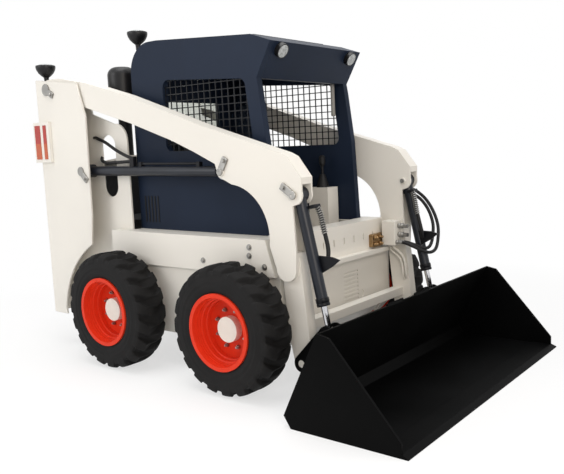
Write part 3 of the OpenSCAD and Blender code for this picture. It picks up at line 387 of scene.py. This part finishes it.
def hoop(profile, sides, centre, axis):
    """A closed profile of (radius, height) pairs carried round an axis, as a ring with a hole."""
    grid = turned(profile, sides, centre, axis)
    return np.concatenate([grid, grid[:1]])


def gather(shapes):
    """Joins several grids of points, each with closed columns, into one list of points and
    one of quads."""
    points, faces, count = [], [], 0
    for grid in shapes:
        rows, cols = grid.shape[:2]
        points.append(grid.reshape(-1, 3))
        faces.append(ring_faces(rows, cols, close_rows=False) + count)
        count += rows * cols
    return np.vstack(points), np.vstack(faces)


def made_of(name, shapes, mat, crease=CREASE):
    """One object of several closed grids. Merges their poles and seams, points every face
    outwards, and keeps edges sharp where two faces meet at more than the crease, in degrees."""
    piece = put_mesh(name, *gather(shapes), mat)
    work = bmesh.new()
    work.from_mesh(piece.data)
    bmesh.ops.remove_doubles(work, verts=work.verts, dist=MERGE)
    bmesh.ops.recalc_face_normals(work, faces=work.faces)
    work.to_mesh(piece.data)
    work.free()
    piece.data.set_sharp_from_angle(angle=math.radians(crease))
    return piece


for place_name, (wheel_x, out) in WHEELS.items():
    shapes = []
    for k in range(NUTS):
        turn = 2 * math.pi * (k + 0.5) / NUTS
        centre = (wheel_x + NUT_CIRCLE_R * math.cos(turn), out * NUT_FACE,
                  AXLE_Z + NUT_CIRCLE_R * math.sin(turn))
        shapes.append(turned(NUT, HEXAGON, centre, (0, out, 0), start=turn))
    nuts = made_of("wheel_nuts_" + place_name, shapes, zinc)
    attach(nuts, "wheel_" + place_name)
for place_name, (wheel_x, out) in WHEELS.items():
    well = hoop(RIM_STEPS, RIM_SIDES, (wheel_x, out * WHEEL_FACE, AXLE_Z), (0, out, 0))
    steps = made_of("rim_steps_" + place_name, [well], rim_red)
    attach(steps, "wheel_" + place_name)


# Sill bolts
# Zinc plated hexagon bolts on round washers. They hold the chain case covers to the
# sills, four on each side.
SILL_FACE, SILL_BOLT, WASHER_SIDES = 0.620, 0.0125, 24
SILL_BOLTS = [(0.383, 0.840), (0.380, 0.789), (-0.005, 0.736), (0.495, 0.730)]
WASHER_SHARES = np.array([(0, 0), (1.5, 0), (1.5, 0.25), (0, 0.25)])
HEAD_SHARES = np.array([(0, 0.25), (1, 0.25), (1, 0.9), (0.86, 1.05), (0, 1.05)])


def bolt(at, axis, size):
    """A round washer and a hexagon head with a broken top edge, both turned about one axis."""
    return [turned(WASHER_SHARES * size, WASHER_SIDES, at, axis),
            turned(HEAD_SHARES * size, HEXAGON, at, axis)]


shapes = [part for x, z in SILL_BOLTS for side in (-1, 1)
          for part in bolt((x, side * SILL_FACE, z), (0, side, 0), SILL_BOLT)]
sill_bolts = made_of("sill_bolts", shapes, zinc)
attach(sill_bolts, "chassis")


# Radiator core
# Thin copper fins soldered to flat tubes, sprayed black. The core stands between the
# engine and the louvres of the rear door, and closes the view through them.
CORE_X, CORE_HALF, CORE_Z = (-1.525, -1.490), 0.46, (0.50, 1.27)
FIN_PITCH, FIN_DEPTH, FIN_CREASE = 0.012, 0.005, 20.0


def square_bar(y, corners):
    """A section with four corners carried across the width, its ends closed on its middle.
    The x and the z of a corner are one value, or one for each place across."""
    ring = np.stack([np.stack(np.broadcast_arrays(x, y, z), -1) for x, z in corners], axis=1)
    middle = ring.mean(axis=1, keepdims=True).repeat(4, 1)
    return np.concatenate([middle[:1], ring, middle[-1:]])


def finned(half, pitch, depth):
    """A slab whose front and back rise and fall as a triangle wave: one fin in each pitch."""
    y = np.linspace(-half, half, int(4 * half / pitch) + 1)
    rise = depth * (np.arange(len(y)) % 2)
    back, front, (low, high) = CORE_X[0] - rise, CORE_X[1] + rise, CORE_Z
    return square_bar(y, [(back, low), (front, low), (front, high), (back, high)])


fins = [finned(CORE_HALF, FIN_PITCH, FIN_DEPTH)]
core = made_of("radiator_core", fins, iron, FIN_CREASE)
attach(core, "chassis")


# Hydraulic fittings on the front panel
# A brass manifold screwed to the panel above the ledge, with six fittings in two rows,
# hexagons and round ones in turn.
brass = sprayed("brass", (0.40, 0.26, 0.13), 0.38, tone=0.7, patch=40.0, peel=500.0, metal=1.0)
MANIFOLD_AT, MANIFOLD_SIZE = (0.605, 0.43, 0.757), (0.032, 0.165, 0.088)
FITTING_X, FITTING_Y, FITTING_PITCH, FITTING_Z = 0.620, 0.37, 0.06, (0.735, 0.779)
FITTING_COLUMNS, FITTING_SIDES = 3, 18
FITTING = [(0, 0), (0.0105, 0), (0.0105, 0.003), (0.0145, 0.004), (0.0145, 0.017),
           (0.0125, 0.019), (0.0092, 0.019), (0.0092, 0.030), (0.0076, 0.032), (0, 0.032)]


def rounded_block(centre, size, waist=0.12, plan=0.12, rise=0.12, rows=18, cols=48,
                  start=math.pi / 4):
    """A block with rounded edges: a superellipsoid, whose two angles give a point as signed
    powers of their sine and cosine. The smaller the power, the squarer: waist draws the
    sides in at both ends, plan rounds the outline and rise the top and bottom."""
    t = np.linspace(-math.pi / 2, math.pi / 2, rows)[:, None]
    p = np.linspace(0, 2 * math.pi, cols, endpoint=False)[None, :] + start
    power = lambda x, n: np.sign(x) * np.abs(x) ** n
    x = power(np.cos(t), waist) * power(np.cos(p), plan)
    y = power(np.cos(t), waist) * power(np.sin(p), plan)
    z = power(np.sin(t), rise) * np.ones_like(p)
    return np.asarray(centre) + 0.5 * np.stack([x * size[0], y * size[1], z * size[2]], axis=-1)


shapes = [rounded_block(MANIFOLD_AT, MANIFOLD_SIZE)]
for k in range(FITTING_COLUMNS):
    sides = HEXAGON if k % 2 else FITTING_SIDES
    feet = [(FITTING_X, FITTING_Y + FITTING_PITCH * k, z) for z in FITTING_Z]
    shapes += [turned(FITTING, sides, foot, (1, 0, 0)) for foot in feet]
fittings = made_of("front_fittings", shapes, brass)
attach(fittings, "chassis")


# Pin keepers
# Zinc plated plates, each held by one bolt, that stop the arms' and cylinders' pins
# from turning. Those of the towers ride on the frame, the others on the arms.
KEEPER_SIZE, KEEPER_AHEAD, KEEPER_OUT = (0.080, 0.013, 0.042), 0.056, 0.006
KEEPER_BOLT, BOLT_AHEAD, BOLT_OUT = 0.011, 0.074, 0.0123
PIN_OUT, INNER_PIN, INNER_FACE = 0.0075, 0.015, 0.5375
TOWER_FACE, ARM_FACE = 0.668, 0.645
PIN_SHARES = np.array([(0, 0), (1, 0), (1, 0.35), (0.9, 0.45), (0.35, 0.45), (0.25, 0.35),
                       (0, 0.35)])
PIN_SIDES = 32
# each pin's place, its keeper's angle, the face that it lies on, and the radius of its end
KEEPERS = {"chassis": [((-1.456, 1.880), -30, TOWER_FACE, 0),
                       ((-1.116, 1.295), -44, TOWER_FACE, 0)],
           "lift_arms": [((0.212, 1.281), 60, ARM_FACE, 0.022),
                         ((0.750, 1.151), 147, ARM_FACE, 0.024)]}


def turned_flat(grid, at, degrees):
    """Points turned about the cross axis through one place, from forwards towards upwards."""
    c, s = math.cos(math.radians(degrees)), math.sin(math.radians(degrees))
    x, y, z = grid[..., 0], grid[..., 1], grid[..., 2]
    return np.stack([at[0] + x * c - z * s, y, at[1] + x * s + z * c], axis=-1)


for body, rows in KEEPERS.items():
    shapes = []
    for at, degrees, face, pin in rows:
        bolt_x = at[0] + BOLT_AHEAD * math.cos(math.radians(degrees))
        bolt_z = at[1] + BOLT_AHEAD * math.sin(math.radians(degrees))
        for side in (-1, 1):
            plate = rounded_block((KEEPER_AHEAD, side * (face + KEEPER_OUT), 0), KEEPER_SIZE)
            shapes.append(turned_flat(plate, at, degrees))
            shapes += bolt((bolt_x, side * (face + BOLT_OUT), bolt_z), (0, side, 0), KEEPER_BOLT)
            if pin > 0:
                outer = (at[0], side * (face + PIN_OUT), at[1])
                inner = (at[0], side * INNER_FACE, at[1])
                shapes.append(turned(PIN_SHARES * pin, PIN_SIDES, outer, (0, side, 0)))
                shapes.append(turned(PIN_SHARES * INNER_PIN, PIN_SIDES, inner, (0, -side, 0)))
    keepers = made_of("pin_keepers_" + body, shapes, zinc)
    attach(keepers, body)


# Cab vents
# Five upright slots with black louvre strips low on each side of the cab, behind the
# seat. The strips are pressed into the slots.
VENT_SIZE, VENT_X, VENT_PITCH = (0.013, 0.006, 0.18), -0.692, 0.032
VENT_FACE, VENT_Z, VENTS = 0.4685, 1.025, 5
shapes = [rounded_block((VENT_X + VENT_PITCH * k, side * VENT_FACE, VENT_Z), VENT_SIZE)
          for k in range(VENTS) for side in (-1, 1)]
vents = made_of("cab_vents", shapes, black_steel)
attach(vents, "chassis")


# Work lamp shells
# Moulded shells drawn over the bowls of the three upright lamps, and pressed prism
# lenses that snap in on top.
SHELL = [(0.0165, 0.020), (0.0185, 0.036), (0.034, 0.048), (0.052, 0.066), (0.0645, 0.088),
         (0.0692, 0.106), (0.0690, 0.1175), (0.0665, 0.1208), (0.0618, 0.1208),
         (0.0618, 0.1190), (0.0155, 0.1190)]
DOME = [(0, 0.1196), (0.0620, 0.1196), (0.0590, 0.1235), (0.046, 0.1285), (0.024, 0.1316),
        (0, 0.1325)]
LAMP_FEET = [(-1.550, -0.596, 1.942), (-1.550, 0.596, 1.942), (-0.800, -0.352, 2.112)]
LAMP_SIDES = 48
shapes = [hoop(SHELL, LAMP_SIDES, foot, (0, 0, 1)) for foot in LAMP_FEET]
shells = made_of("lamp_shells", shapes, moulded)
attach(shells, "chassis")
shapes = [turned(DOME, LAMP_SIDES, foot, (0, 0, 1)) for foot in LAMP_FEET]
domes = made_of("lamp_domes", shapes, prism)
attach(domes, "chassis")


# Coupler sleeves
# Turned and grooved steel sleeves, zinc plated. They slide back on the two free couplers
# of the left arm.
SLEEVE = [(0.0133, 0.004), (0.0165, 0.004), (0.0180, 0.006), (0.0180, 0.018), (0.0165, 0.020),
          (0.0165, 0.023), (0.0180, 0.025), (0.0180, 0.037), (0.0160, 0.040), (0.0133, 0.040)]
COUPLER_X, COUPLER_Y, COUPLER_Z, SLEEVE_SIDES = 0.730, 0.500, (0.790, 0.850), 28
shapes = [hoop(SLEEVE, SLEEVE_SIDES, (COUPLER_X, COUPLER_Y, z), (1, 0, 0)) for z in COUPLER_Z]
sleeves = made_of("coupler_sleeves", shapes, zinc)
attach(sleeves, "lift_arms")


# Spring guards on the tilt hoses
# A coil of plated wire is wound over each hose from its clamp, and keeps it from
# chafing. It grips the hose and needs no other hold.
ARM_MID = 0.595
TILT_PINS = ((0.750, 1.151), (0.922, 0.392))
TILT_HOSE = np.array([(80, -56, 58), (130, -63, 66), (215, -66, 64), (308, -66, 66),
                      (365, -56, 62), (400, -40, 48)]) / 1000
TILT_STEPS, GUARD_FROM, GUARD_SHARE = 12, 4, 0.46
COIL_R, COIL_PITCH, COIL_STEPS, WIRE_R, WIRE_SIDES = 0.0150, 0.0130, 16, 0.0032, 8
SIDES = (("right", -1), ("left", 1))


def smooth_path(points, steps):
    """The curve through the points: on each span a cubic whose end slopes are half the
    chords of its neighbours."""
    p = np.asarray(points, float)
    q = np.vstack([p[:1], p, p[-1:]])
    t = np.linspace(0, 1, steps, endpoint=False)[None, :, None]
    a, b, c, d = q[:-3, None], q[1:-2, None], q[2:-1, None], q[3:, None]
    run = (b + (c - a) * t / 2 + (2 * a - 5 * b + 4 * c - d) * t ** 2 / 2
           + (3 * b - a - 3 * c + d) * t ** 3 / 2)
    return np.vstack([run.reshape(-1, 3), p[-1:]])


def across(path, ref):
    """Two unit vectors square to a path at each point, the first also square to the reference."""
    ahead = np.gradient(path, axis=0)
    u = np.cross(ahead, ref)
    u = u / np.linalg.norm(u, axis=1, keepdims=True)
    v = np.cross(ahead, u)
    return u, v / np.linalg.norm(v, axis=1, keepdims=True)


def swept(path, radius, sides, ref):
    """A round section carried along a path, with both ends closed on the path."""
    u, v = across(path, ref)
    th = np.linspace(0, 2 * math.pi, sides, endpoint=False)[None, :, None]
    grid = path[:, None] + radius * (np.cos(th) * u[:, None] + np.sin(th) * v[:, None])
    ends = np.repeat(path[:, None], sides, 1)
    return np.concatenate([ends[:1], grid, ends[-1:]])


def coil(path, radius, pitch, ref):
    """A helix round a path: the path at even lengths, plus a radius that turns once in each
    pitch."""
    length = np.concatenate([[0], np.cumsum(np.linalg.norm(np.diff(path, axis=0), axis=1))])
    s = np.linspace(0, length[-1], int(COIL_STEPS * length[-1] / pitch))
    middle = np.stack([np.interp(s, length, path[:, k]) for k in range(3)], axis=1)
    u, v = across(middle, ref)
    turn = (2 * math.pi * s / pitch)[:, None]
    return middle + radius * (np.cos(turn) * u + np.sin(turn) * v)


def on_barrel(points, side, pins):
    """Row frame place of points given along a cylinder from its base pin: how far towards
    the other pin, how far outwards, and how far square to both, which is forwards on the
    steep tilt cylinders and upwards on the level lift cylinders."""
    points = np.asarray(points, float)
    base, end = pins
    run = np.subtract(end, base)
    c, s = run / np.linalg.norm(run)
    x = base[0] + points[..., 0] * c - points[..., 2] * s
    z = base[1] + points[..., 0] * s + points[..., 2] * c
    return np.stack([x, side * (ARM_MID + points[..., 1]), z], axis=-1)


for side_name, side in SIDES:
    route = smooth_path(on_barrel(TILT_HOSE, side, TILT_PINS), TILT_STEPS)
    route = route[GUARD_FROM:int(len(route) * GUARD_SHARE)]
    wire = coil(route, COIL_R, COIL_PITCH, (0, 1, 0))
    shapes = [swept(wire, WIRE_R, WIRE_SIDES, route[-1] - route[0])]
    guard = made_of("spring_guard_" + side_name, shapes, zinc)
    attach(guard, "tilt_barrel_" + side_name)


# Tilt hoses
# Rubber hose with a woven wire core, held by a clamp block near the base and by a cut
# steel bracket welded to the barrel. It rides with the barrel along its whole length.
TILT_HOSE_R, HOSE_SIDES = 0.012, 18
CLAMP_AT, CLAMP_SIZE = (0.082, -0.042, 0.049), (0.020, 0.064, 0.050)
BRACKET = np.array([(350, 20), (450, 20), (424, 104), (398, 158), (374, 112)]) / 1000
BRACKET_FROM, BRACKET_TO = -0.028, -0.016


def cut_plate(outline, low, high):
    """A flat outline of (along, forwards) pairs carried from one side to the other, closed
    at both ends on its middle."""
    rows = [np.insert(outline, 1, y, axis=1) for y in (low, high)]
    ends = [np.repeat(row.mean(axis=0, keepdims=True), len(row), 0) for row in rows]
    return np.stack([ends[0], *rows, ends[1]])


for side_name, side in SIDES:
    route = smooth_path(on_barrel(TILT_HOSE, side, TILT_PINS), TILT_STEPS)
    shapes = [swept(route, TILT_HOSE_R, HOSE_SIDES, (0, 1, 0))]
    hose = made_of("tilt_hose_" + side_name, shapes, boot)
    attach(hose, "tilt_barrel_" + side_name)
    shapes = [rounded_block(CLAMP_AT, CLAMP_SIZE), cut_plate(BRACKET, BRACKET_FROM, BRACKET_TO)]
    shapes = [on_barrel(shape, side, TILT_PINS) for shape in shapes]
    holder = made_of("tilt_hose_holder_" + side_name, shapes, black_steel)
    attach(holder, "tilt_barrel_" + side_name)


# Lift hoses and pipes
# Two rubber hoses come out of each tower to the port block on the lift barrel. A steel
# pipe on two feet carries the oil on to the rod end.
LIFT_PINS = ((-1.116, 1.295), (0.212, 1.281))
LIFT_HOSES = [np.array([(-15, -66, 230), (20, -54, 230), (60, -42, 222), (147, -36, 195),
                        (283, -22, 138), (400, -10, 100), (475, -4, 84)]) / 1000,
              np.array([(60, -66, 92), (90, -40, 76), (130, -22, 64), (190, -10, 56),
                        (300, -4, 58), (400, 0, 62), (475, 0, 64)]) / 1000]
LIFT_HOSE_R, LIFT_STEPS = 0.011, 14
PIPE_R, PIPE_UP, PIPE_STEPS, PIPE_SIDES = 0.009, 0.047, 4, 16
PIPE_PLACES = (0.560, 0.740, 0.920, 1.100)
PORT_AT, PORT_SIZE = (0.475, 0, 0.062), (0.042, 0.030, 0.070)
FOOT_UP, FOOT_SIZE = 0.042, (0.028, 0.030, 0.036)
for side_name, side in SIDES:
    routes = [smooth_path(on_barrel(points, side, LIFT_PINS), LIFT_STEPS) for points in LIFT_HOSES]
    shapes = [swept(route, LIFT_HOSE_R, HOSE_SIDES, (0, 1, 0)) for route in routes]
    hoses = made_of("lift_hoses_" + side_name, shapes, boot)
    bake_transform(hoses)
    line = on_barrel([(along, 0, PIPE_UP) for along in PIPE_PLACES], side, LIFT_PINS)
    blocks = [rounded_block(PORT_AT, PORT_SIZE)]
    blocks += [rounded_block((PIPE_PLACES[end], 0, FOOT_UP), FOOT_SIZE) for end in (0, -1)]
    shapes = [swept(smooth_path(line, PIPE_STEPS), PIPE_R, PIPE_SIDES, (0, 1, 0))]
    shapes += [on_barrel(block, side, LIFT_PINS) for block in blocks]
    ports = made_of("lift_pipe_" + side_name, shapes, black_steel)
    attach(ports, "lift_barrel_" + side_name)


# Auxiliary hoses
# Two rubber hoses leave the cover of the coupler block, loop round the left tilt cylinder
# and go into the outer face of the arm. They keep clear of the free couplers' axes.
ROW_SHIFT = (0.7, 0, 0)
AUX_HOSES = [[(1424, 500, 742), (1455, 500, 742), (1500, 500, 738), (1552, 506, 724),
              (1592, 530, 704), (1612, 568, 698), (1616, 612, 716), (1612, 650, 768),
              (1600, 680, 848), (1564, 692, 936), (1510, 692, 1008), (1460, 668, 1050),
              (1426, 634, 1064), (1408, 600, 1066)],
             [(1424, 472, 742), (1455, 472, 742), (1500, 472, 738), (1560, 478, 716),
              (1606, 505, 690), (1640, 552, 672), (1652, 612, 688), (1644, 664, 745),
              (1626, 702, 835), (1586, 716, 930), (1528, 716, 1015), (1468, 694, 1072),
              (1428, 652, 1096), (1410, 600, 1102)]]
AUX_HOSE_R, AUX_STEPS, AUX_REF = 0.011, 10, (0.3, 0.2, 1)
FERRULE = [(0, 0), (0.0165, 0), (0.0165, 0.016), (0.0135, 0.019), (0.0135, 0.048),
           (0.0118, 0.051), (0, 0.051)]
FERRULE_FEET = [(0.728, 0.500, 0.742), (0.728, 0.472, 0.742)]
COVER_AT, COVER_SIZE = (0.680, 0.4995, 0.801), (0.102, 0.093, 0.166)
COVER_POWERS, COVER_ROWS, COVER_COLS = (0.06, 0.06, 0.06), 30, 96
routes = [smooth_path(np.array(points) / 1000 - ROW_SHIFT, AUX_STEPS) for points in AUX_HOSES]
shapes = [swept(route, AUX_HOSE_R, HOSE_SIDES, AUX_REF) for route in routes]
hoses = made_of("aux_hoses", shapes, boot)
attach(hoses, "lift_arms")
shapes = [turned(FERRULE, HEXAGON, foot, (1, 0, 0)) for foot in FERRULE_FEET]
ferrules = made_of("aux_ferrules", shapes, zinc)
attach(ferrules, "lift_arms")
block = rounded_block(COVER_AT, COVER_SIZE, *COVER_POWERS, COVER_ROWS, COVER_COLS)
cover = made_of("aux_cover", [block], cream)
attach(cover, "lift_arms")


# Gland collars of the tilt cylinders
# Turned steel collars, screwed on to close the barrel and hold the rod seal. They are
# sprayed black.
COLLAR = [(0.0332, -0.046), (0.0365, -0.045), (0.0378, -0.042), (0.0378, -0.022),
          (0.0362, -0.020), (0.0362, -0.016), (0.0378, -0.014), (0.0378, -0.003),
          (0.0365, 0.0), (0.0332, 0.0)]
TILT_BARREL, COLLAR_SIDES = 0.6265, 40
for side_name, side in SIDES:
    foot = on_barrel((TILT_BARREL, 0, 0), side, TILT_PINS)
    ahead = foot - on_barrel((0, 0, 0), side, TILT_PINS)
    shapes = [hoop(COLLAR, COLLAR_SIDES, foot, ahead)]
    collar = made_of("gland_collar_" + side_name, shapes, black_steel)
    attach(collar, "tilt_barrel_" + side_name)


# Hydraulic pipes on the left leg
# Two bent steel tubes from the coupler block down into the leg, clamped at both ends and
# sprayed cream with the arm.
LEG_PIPES = [[(1352, 522, 724), (1352, 522, 700), (1360, 523, 674), (1392, 525, 650),
              (1424, 528, 618), (1440, 531, 566), (1443, 534, 506), (1443, 549, 470)],
             [(1386, 508, 724), (1386, 508, 706), (1394, 510, 690), (1420, 515, 672),
              (1446, 522, 640), (1462, 528, 584), (1466, 533, 516), (1466, 549, 478)]]
LEG_PIPE_R, LEG_PIPE_STEPS, LEG_PIPE_SIDES, LEG_PIPE_REF = 0.0085, 8, 14, (0, 1, 0.3)
routes = [smooth_path(np.array(points) / 1000 - ROW_SHIFT, LEG_PIPE_STEPS) for points in LEG_PIPES]
shapes = [swept(route, LEG_PIPE_R, LEG_PIPE_SIDES, LEG_PIPE_REF) for route in routes]
pipes = made_of("leg_pipes", shapes, cream)
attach(pipes, "lift_arms")


# Grips on the grab bars
# Grey moulded plastic sleeves, a little thicker at both ends. They are pushed over the
# bars inside the two front posts.
grey = sprayed("grey_grip", (0.30, 0.29, 0.27), 0.5, tone=0.85, patch=30.0, peel=600.0,
               depth=0.05)
GRIP = [(0, 0), (0.009, 0), (0.0135, 0.003), (0.0150, 0.010), (0.0138, 0.045), (0.0138, 0.251),
        (0.0150, 0.286), (0.0135, 0.293), (0.009, 0.296), (0, 0.296)]
GRIP_X, GRIP_Y, GRIP_Z, GRIP_SIDES = 0.3003, 0.395, 1.605, 24
shapes = [turned(GRIP, GRIP_SIDES, (GRIP_X, side * GRIP_Y, GRIP_Z), (0, 0, 1)) for side in (-1, 1)]
grips = made_of("grab_grips", shapes, grey)
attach(grips, "chassis")


# Step treads of the bucket
# Two toothed steel strips, welded on the bucket's top edge as a step and sprayed black
# with it.
TREAD_X, TREAD_FOOT_Z, TREAD_Z = (1.1440, 1.1560), 0.513, 0.519
TOOTH_PITCH, TOOTH_FROM, TOOTH_HIGH, TOOTH_CREASE = 0.016, 0.004, 0.009, 20.0
TREADS = [(-0.36, -0.19), (-0.05, 0.12)]


def toothed(y_from, y_to):
    """A strip along the width whose top rises and falls as a triangle wave: one tooth in
    each pitch."""
    y = np.linspace(y_from, y_to, int(2 * (y_to - y_from) / TOOTH_PITCH) + 1)
    top = TREAD_Z + TOOTH_FROM + TOOTH_HIGH * (np.arange(len(y)) % 2)
    (back, front), low = TREAD_X, TREAD_FOOT_Z
    return square_bar(y, [(back, low), (front, low), (front, top), (back, top)])


treads = made_of("bucket_treads", [toothed(*span) for span in TREADS], bucket_black, TOOTH_CREASE)
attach(treads, "bucket")


# Seat
# Foam pads in black vinyl on a steel pan, held by screws from below. The vinyl swells
# over the foam between its sewn edges.
vinyl = sprayed("seat_vinyl", (0.016, 0.016, 0.018), 0.48, tone=0.8, patch=16.0, peel=650.0,
                depth=0.10)
SEAT = {"seat_cushion": ((-0.245, 0, 0.975), (0.455, 0.485, 0.095)),
        "seat_backrest": ((-0.565, 0, 1.267), (0.112, 0.485, 0.57))}
PAD_POWERS, PAD_ROWS, PAD_COLS = (0.18, 0.35, 0.45), 40, 64
PAD_VOXEL, PAD_PRESSURE, PAD_STEPS, PAD_CAP = 0.006, 4.0, 20, 0.012


def swell(work):
    """Blows a pad up like foam under vinyl: cloth with pressure and no gravity for twenty
    steps, then each point is held to within the cap of where it began."""
    remesh = work.modifiers.new("even", "REMESH")
    remesh.mode = "VOXEL"
    remesh.voxel_size = PAD_VOXEL
    with bpy.context.temp_override(object=work, active_object=work, selected_objects=[work]):
        bpy.ops.object.modifier_apply(modifier="even")
    count = len(work.data.vertices)
    start = np.empty(count * 3)
    work.data.vertices.foreach_get("co", start)
    cloth = work.modifiers.new("foam", "CLOTH")
    cloth.settings.use_pressure = True
    cloth.settings.uniform_pressure_force = PAD_PRESSURE
    cloth.settings.effector_weights.gravity = 0.0
    cloth.settings.quality = 5
    for step in range(1, PAD_STEPS + 1):
        bpy.context.scene.frame_set(step)
    moved = np.empty(count * 3)
    shown = work.evaluated_get(bpy.context.evaluated_depsgraph_get()).to_mesh()
    shown.vertices.foreach_get("co", moved)
    work.modifiers.remove(cloth)
    bpy.context.scene.frame_set(1)
    shift = (moved - start).reshape(-1, 3)
    far = np.linalg.norm(shift, axis=1, keepdims=True)
    shift = shift * np.minimum(1.0, PAD_CAP / np.maximum(far, 1e-9))
    work.data.vertices.foreach_set("co", (start.reshape(-1, 3) + shift).ravel())
    work.data.update()


for name, (centre, size) in SEAT.items():
    pillow = rounded_block(centre, size, *PAD_POWERS, PAD_ROWS, PAD_COLS, start=0.0)
    pad = made_of(name, [pillow], vinyl)
    swell(pad)
    pad.data.polygons.foreach_set("use_smooth", [True] * len(pad.data.polygons))
    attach(pad, "chassis")
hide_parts("seat_pads")


# Studio floor and surround
# A pale matt floor that runs out to a plain white surround. Near the machine the floor
# shows its own shading, so that the shadow stays, and further out it goes over to white.
FLOOR_HALF, FLOOR_GREY, FLOOR_ROUGH = 40, 0.90, 0.9
FADE_FROM_TO, FADE_SHARES = (1.6, 4.0), (0.62, 1.0)
SURROUND_LIGHT, SURROUND_WHITE = 0.44, 1.0


def rays_to_eye(tree):
    """1 on rays from the camera, through glass or off a shiny face, and 0 on all others: the
    largest of the three flags."""
    path = tree.nodes.new("ShaderNodeLightPath")
    seen = path.outputs["Is Camera Ray"]
    for flag in ("Is Transmission Ray", "Is Glossy Ray"):
        larger = tree.nodes.new("ShaderNodeMath")
        larger.operation = "MAXIMUM"
        tree.links.new(seen, larger.inputs[0])
        tree.links.new(path.outputs[flag], larger.inputs[1])
        seen = larger.outputs["Value"]
    return seen


pale, tree, shader, place = blank_finish("pale_floor")
shader.inputs["Base Color"].default_value = (FLOOR_GREY, FLOOR_GREY, FLOOR_GREY, 1)
shader.inputs["Roughness"].default_value = FLOOR_ROUGH
away = tree.nodes.new("ShaderNodeVectorMath")
away.operation = "LENGTH"
tree.links.new(place, away.inputs[0])
share = tree.nodes.new("ShaderNodeMath")
share.operation = "MULTIPLY"
tree.links.new(rays_to_eye(tree), share.inputs[0])
tree.links.new(ranged(tree, away.outputs["Value"], FADE_FROM_TO, FADE_SHARES), share.inputs[1])
white = tree.nodes.new("ShaderNodeEmission")
white.inputs["Strength"].default_value = SURROUND_WHITE
both = tree.nodes.new("ShaderNodeMixShader")
tree.links.new(share.outputs["Value"], both.inputs["Fac"])
tree.links.new(shader.outputs["BSDF"], both.inputs[1])
tree.links.new(white.outputs["Emission"], both.inputs[2])
tree.links.new(both.outputs["Shader"], tree.nodes["Material Output"].inputs["Surface"])
corners = np.array([(-1, -1, 0), (1, -1, 0), (1, 1, 0), (-1, 1, 0)]) * FLOOR_HALF
floor = put_mesh("studio_floor", corners, np.array([(0, 1, 2, 3)]), pale)
world = bpy.data.worlds.new("studio")
bpy.context.scene.world = world
world.use_nodes = True
tree = world.node_tree
sky = tree.nodes["Background"]
sky.inputs["Color"].default_value = (1.0, 1.0, 1.0, 1.0)
level = ranged(tree, rays_to_eye(tree), target=(SURROUND_LIGHT, SURROUND_WHITE))
tree.links.new(level, sky.inputs["Strength"])


# Studio lamps
# Three soft boxes: one overhead, one behind on the right, and a warmer one in front on
# the right. Each is a square that is turned towards the machine.
def soft_lamp(name, at, aim, size, watts, tint=(1.0, 1.0, 1.0)):
    """A square soft box at one place, turned towards another."""
    data = bpy.data.lights.new(name, "AREA")
    data.size = size
    data.energy = watts
    data.color = tint
    lamp = bpy.data.objects.new(name, data)
    bpy.context.collection.objects.link(lamp)
    lamp.location = at
    lamp.rotation_mode = "QUATERNION"
    lamp.rotation_quaternion = Vector(np.subtract(aim, at)).to_track_quat("-Z", "Y")


WARM = (1.0, 0.90, 0.79)
soft_lamp("lamp_over", (0.0, -0.5, 6.5), (0, 0, 1), 5.0, 290)
soft_lamp("lamp_side", (-3.5, -6.0, 3.6), (0, 0, 1), 3.5, 135)
soft_lamp("lamp_front", (5.2, -3.6, 3.0), (0.3, 0, 0.8), 3.0, 140, WARM)


# Camera
# It stands in front of the machine on its right, at chest height, and looks down a few
# degrees. The picture is rolled and shifted as the photograph is.
CAMERA_AT = (3.1305, -3.6249, 1.4258)
azimuth, fall, roll = math.radians(37.4), math.radians(7.4), math.radians(-2.3)
camera_data = bpy.data.cameras.new("camera")
camera_data.lens = 44.87
camera_data.sensor_width = 36.0
camera_data.shift_x = -0.0498
camera_data.shift_y = -0.0039
camera = bpy.data.objects.new("camera", camera_data)
bpy.context.collection.objects.link(camera)
bpy.context.scene.camera = camera
ahead = np.array([-math.sin(azimuth) * math.cos(fall), math.cos(azimuth) * math.cos(fall),
                  -math.sin(fall)])
right = np.array([math.cos(azimuth), math.sin(azimuth), 0.0])
up = np.cross(right, ahead)
turn = np.eye(4)
turn[:3, 0] = right * math.cos(roll) + up * math.sin(roll)
turn[:3, 1] = up * math.cos(roll) - right * math.sin(roll)
turn[:3, 2] = -ahead
turn[:3, 3] = CAMERA_AT
camera.matrix_world = Matrix(turn.tolist())
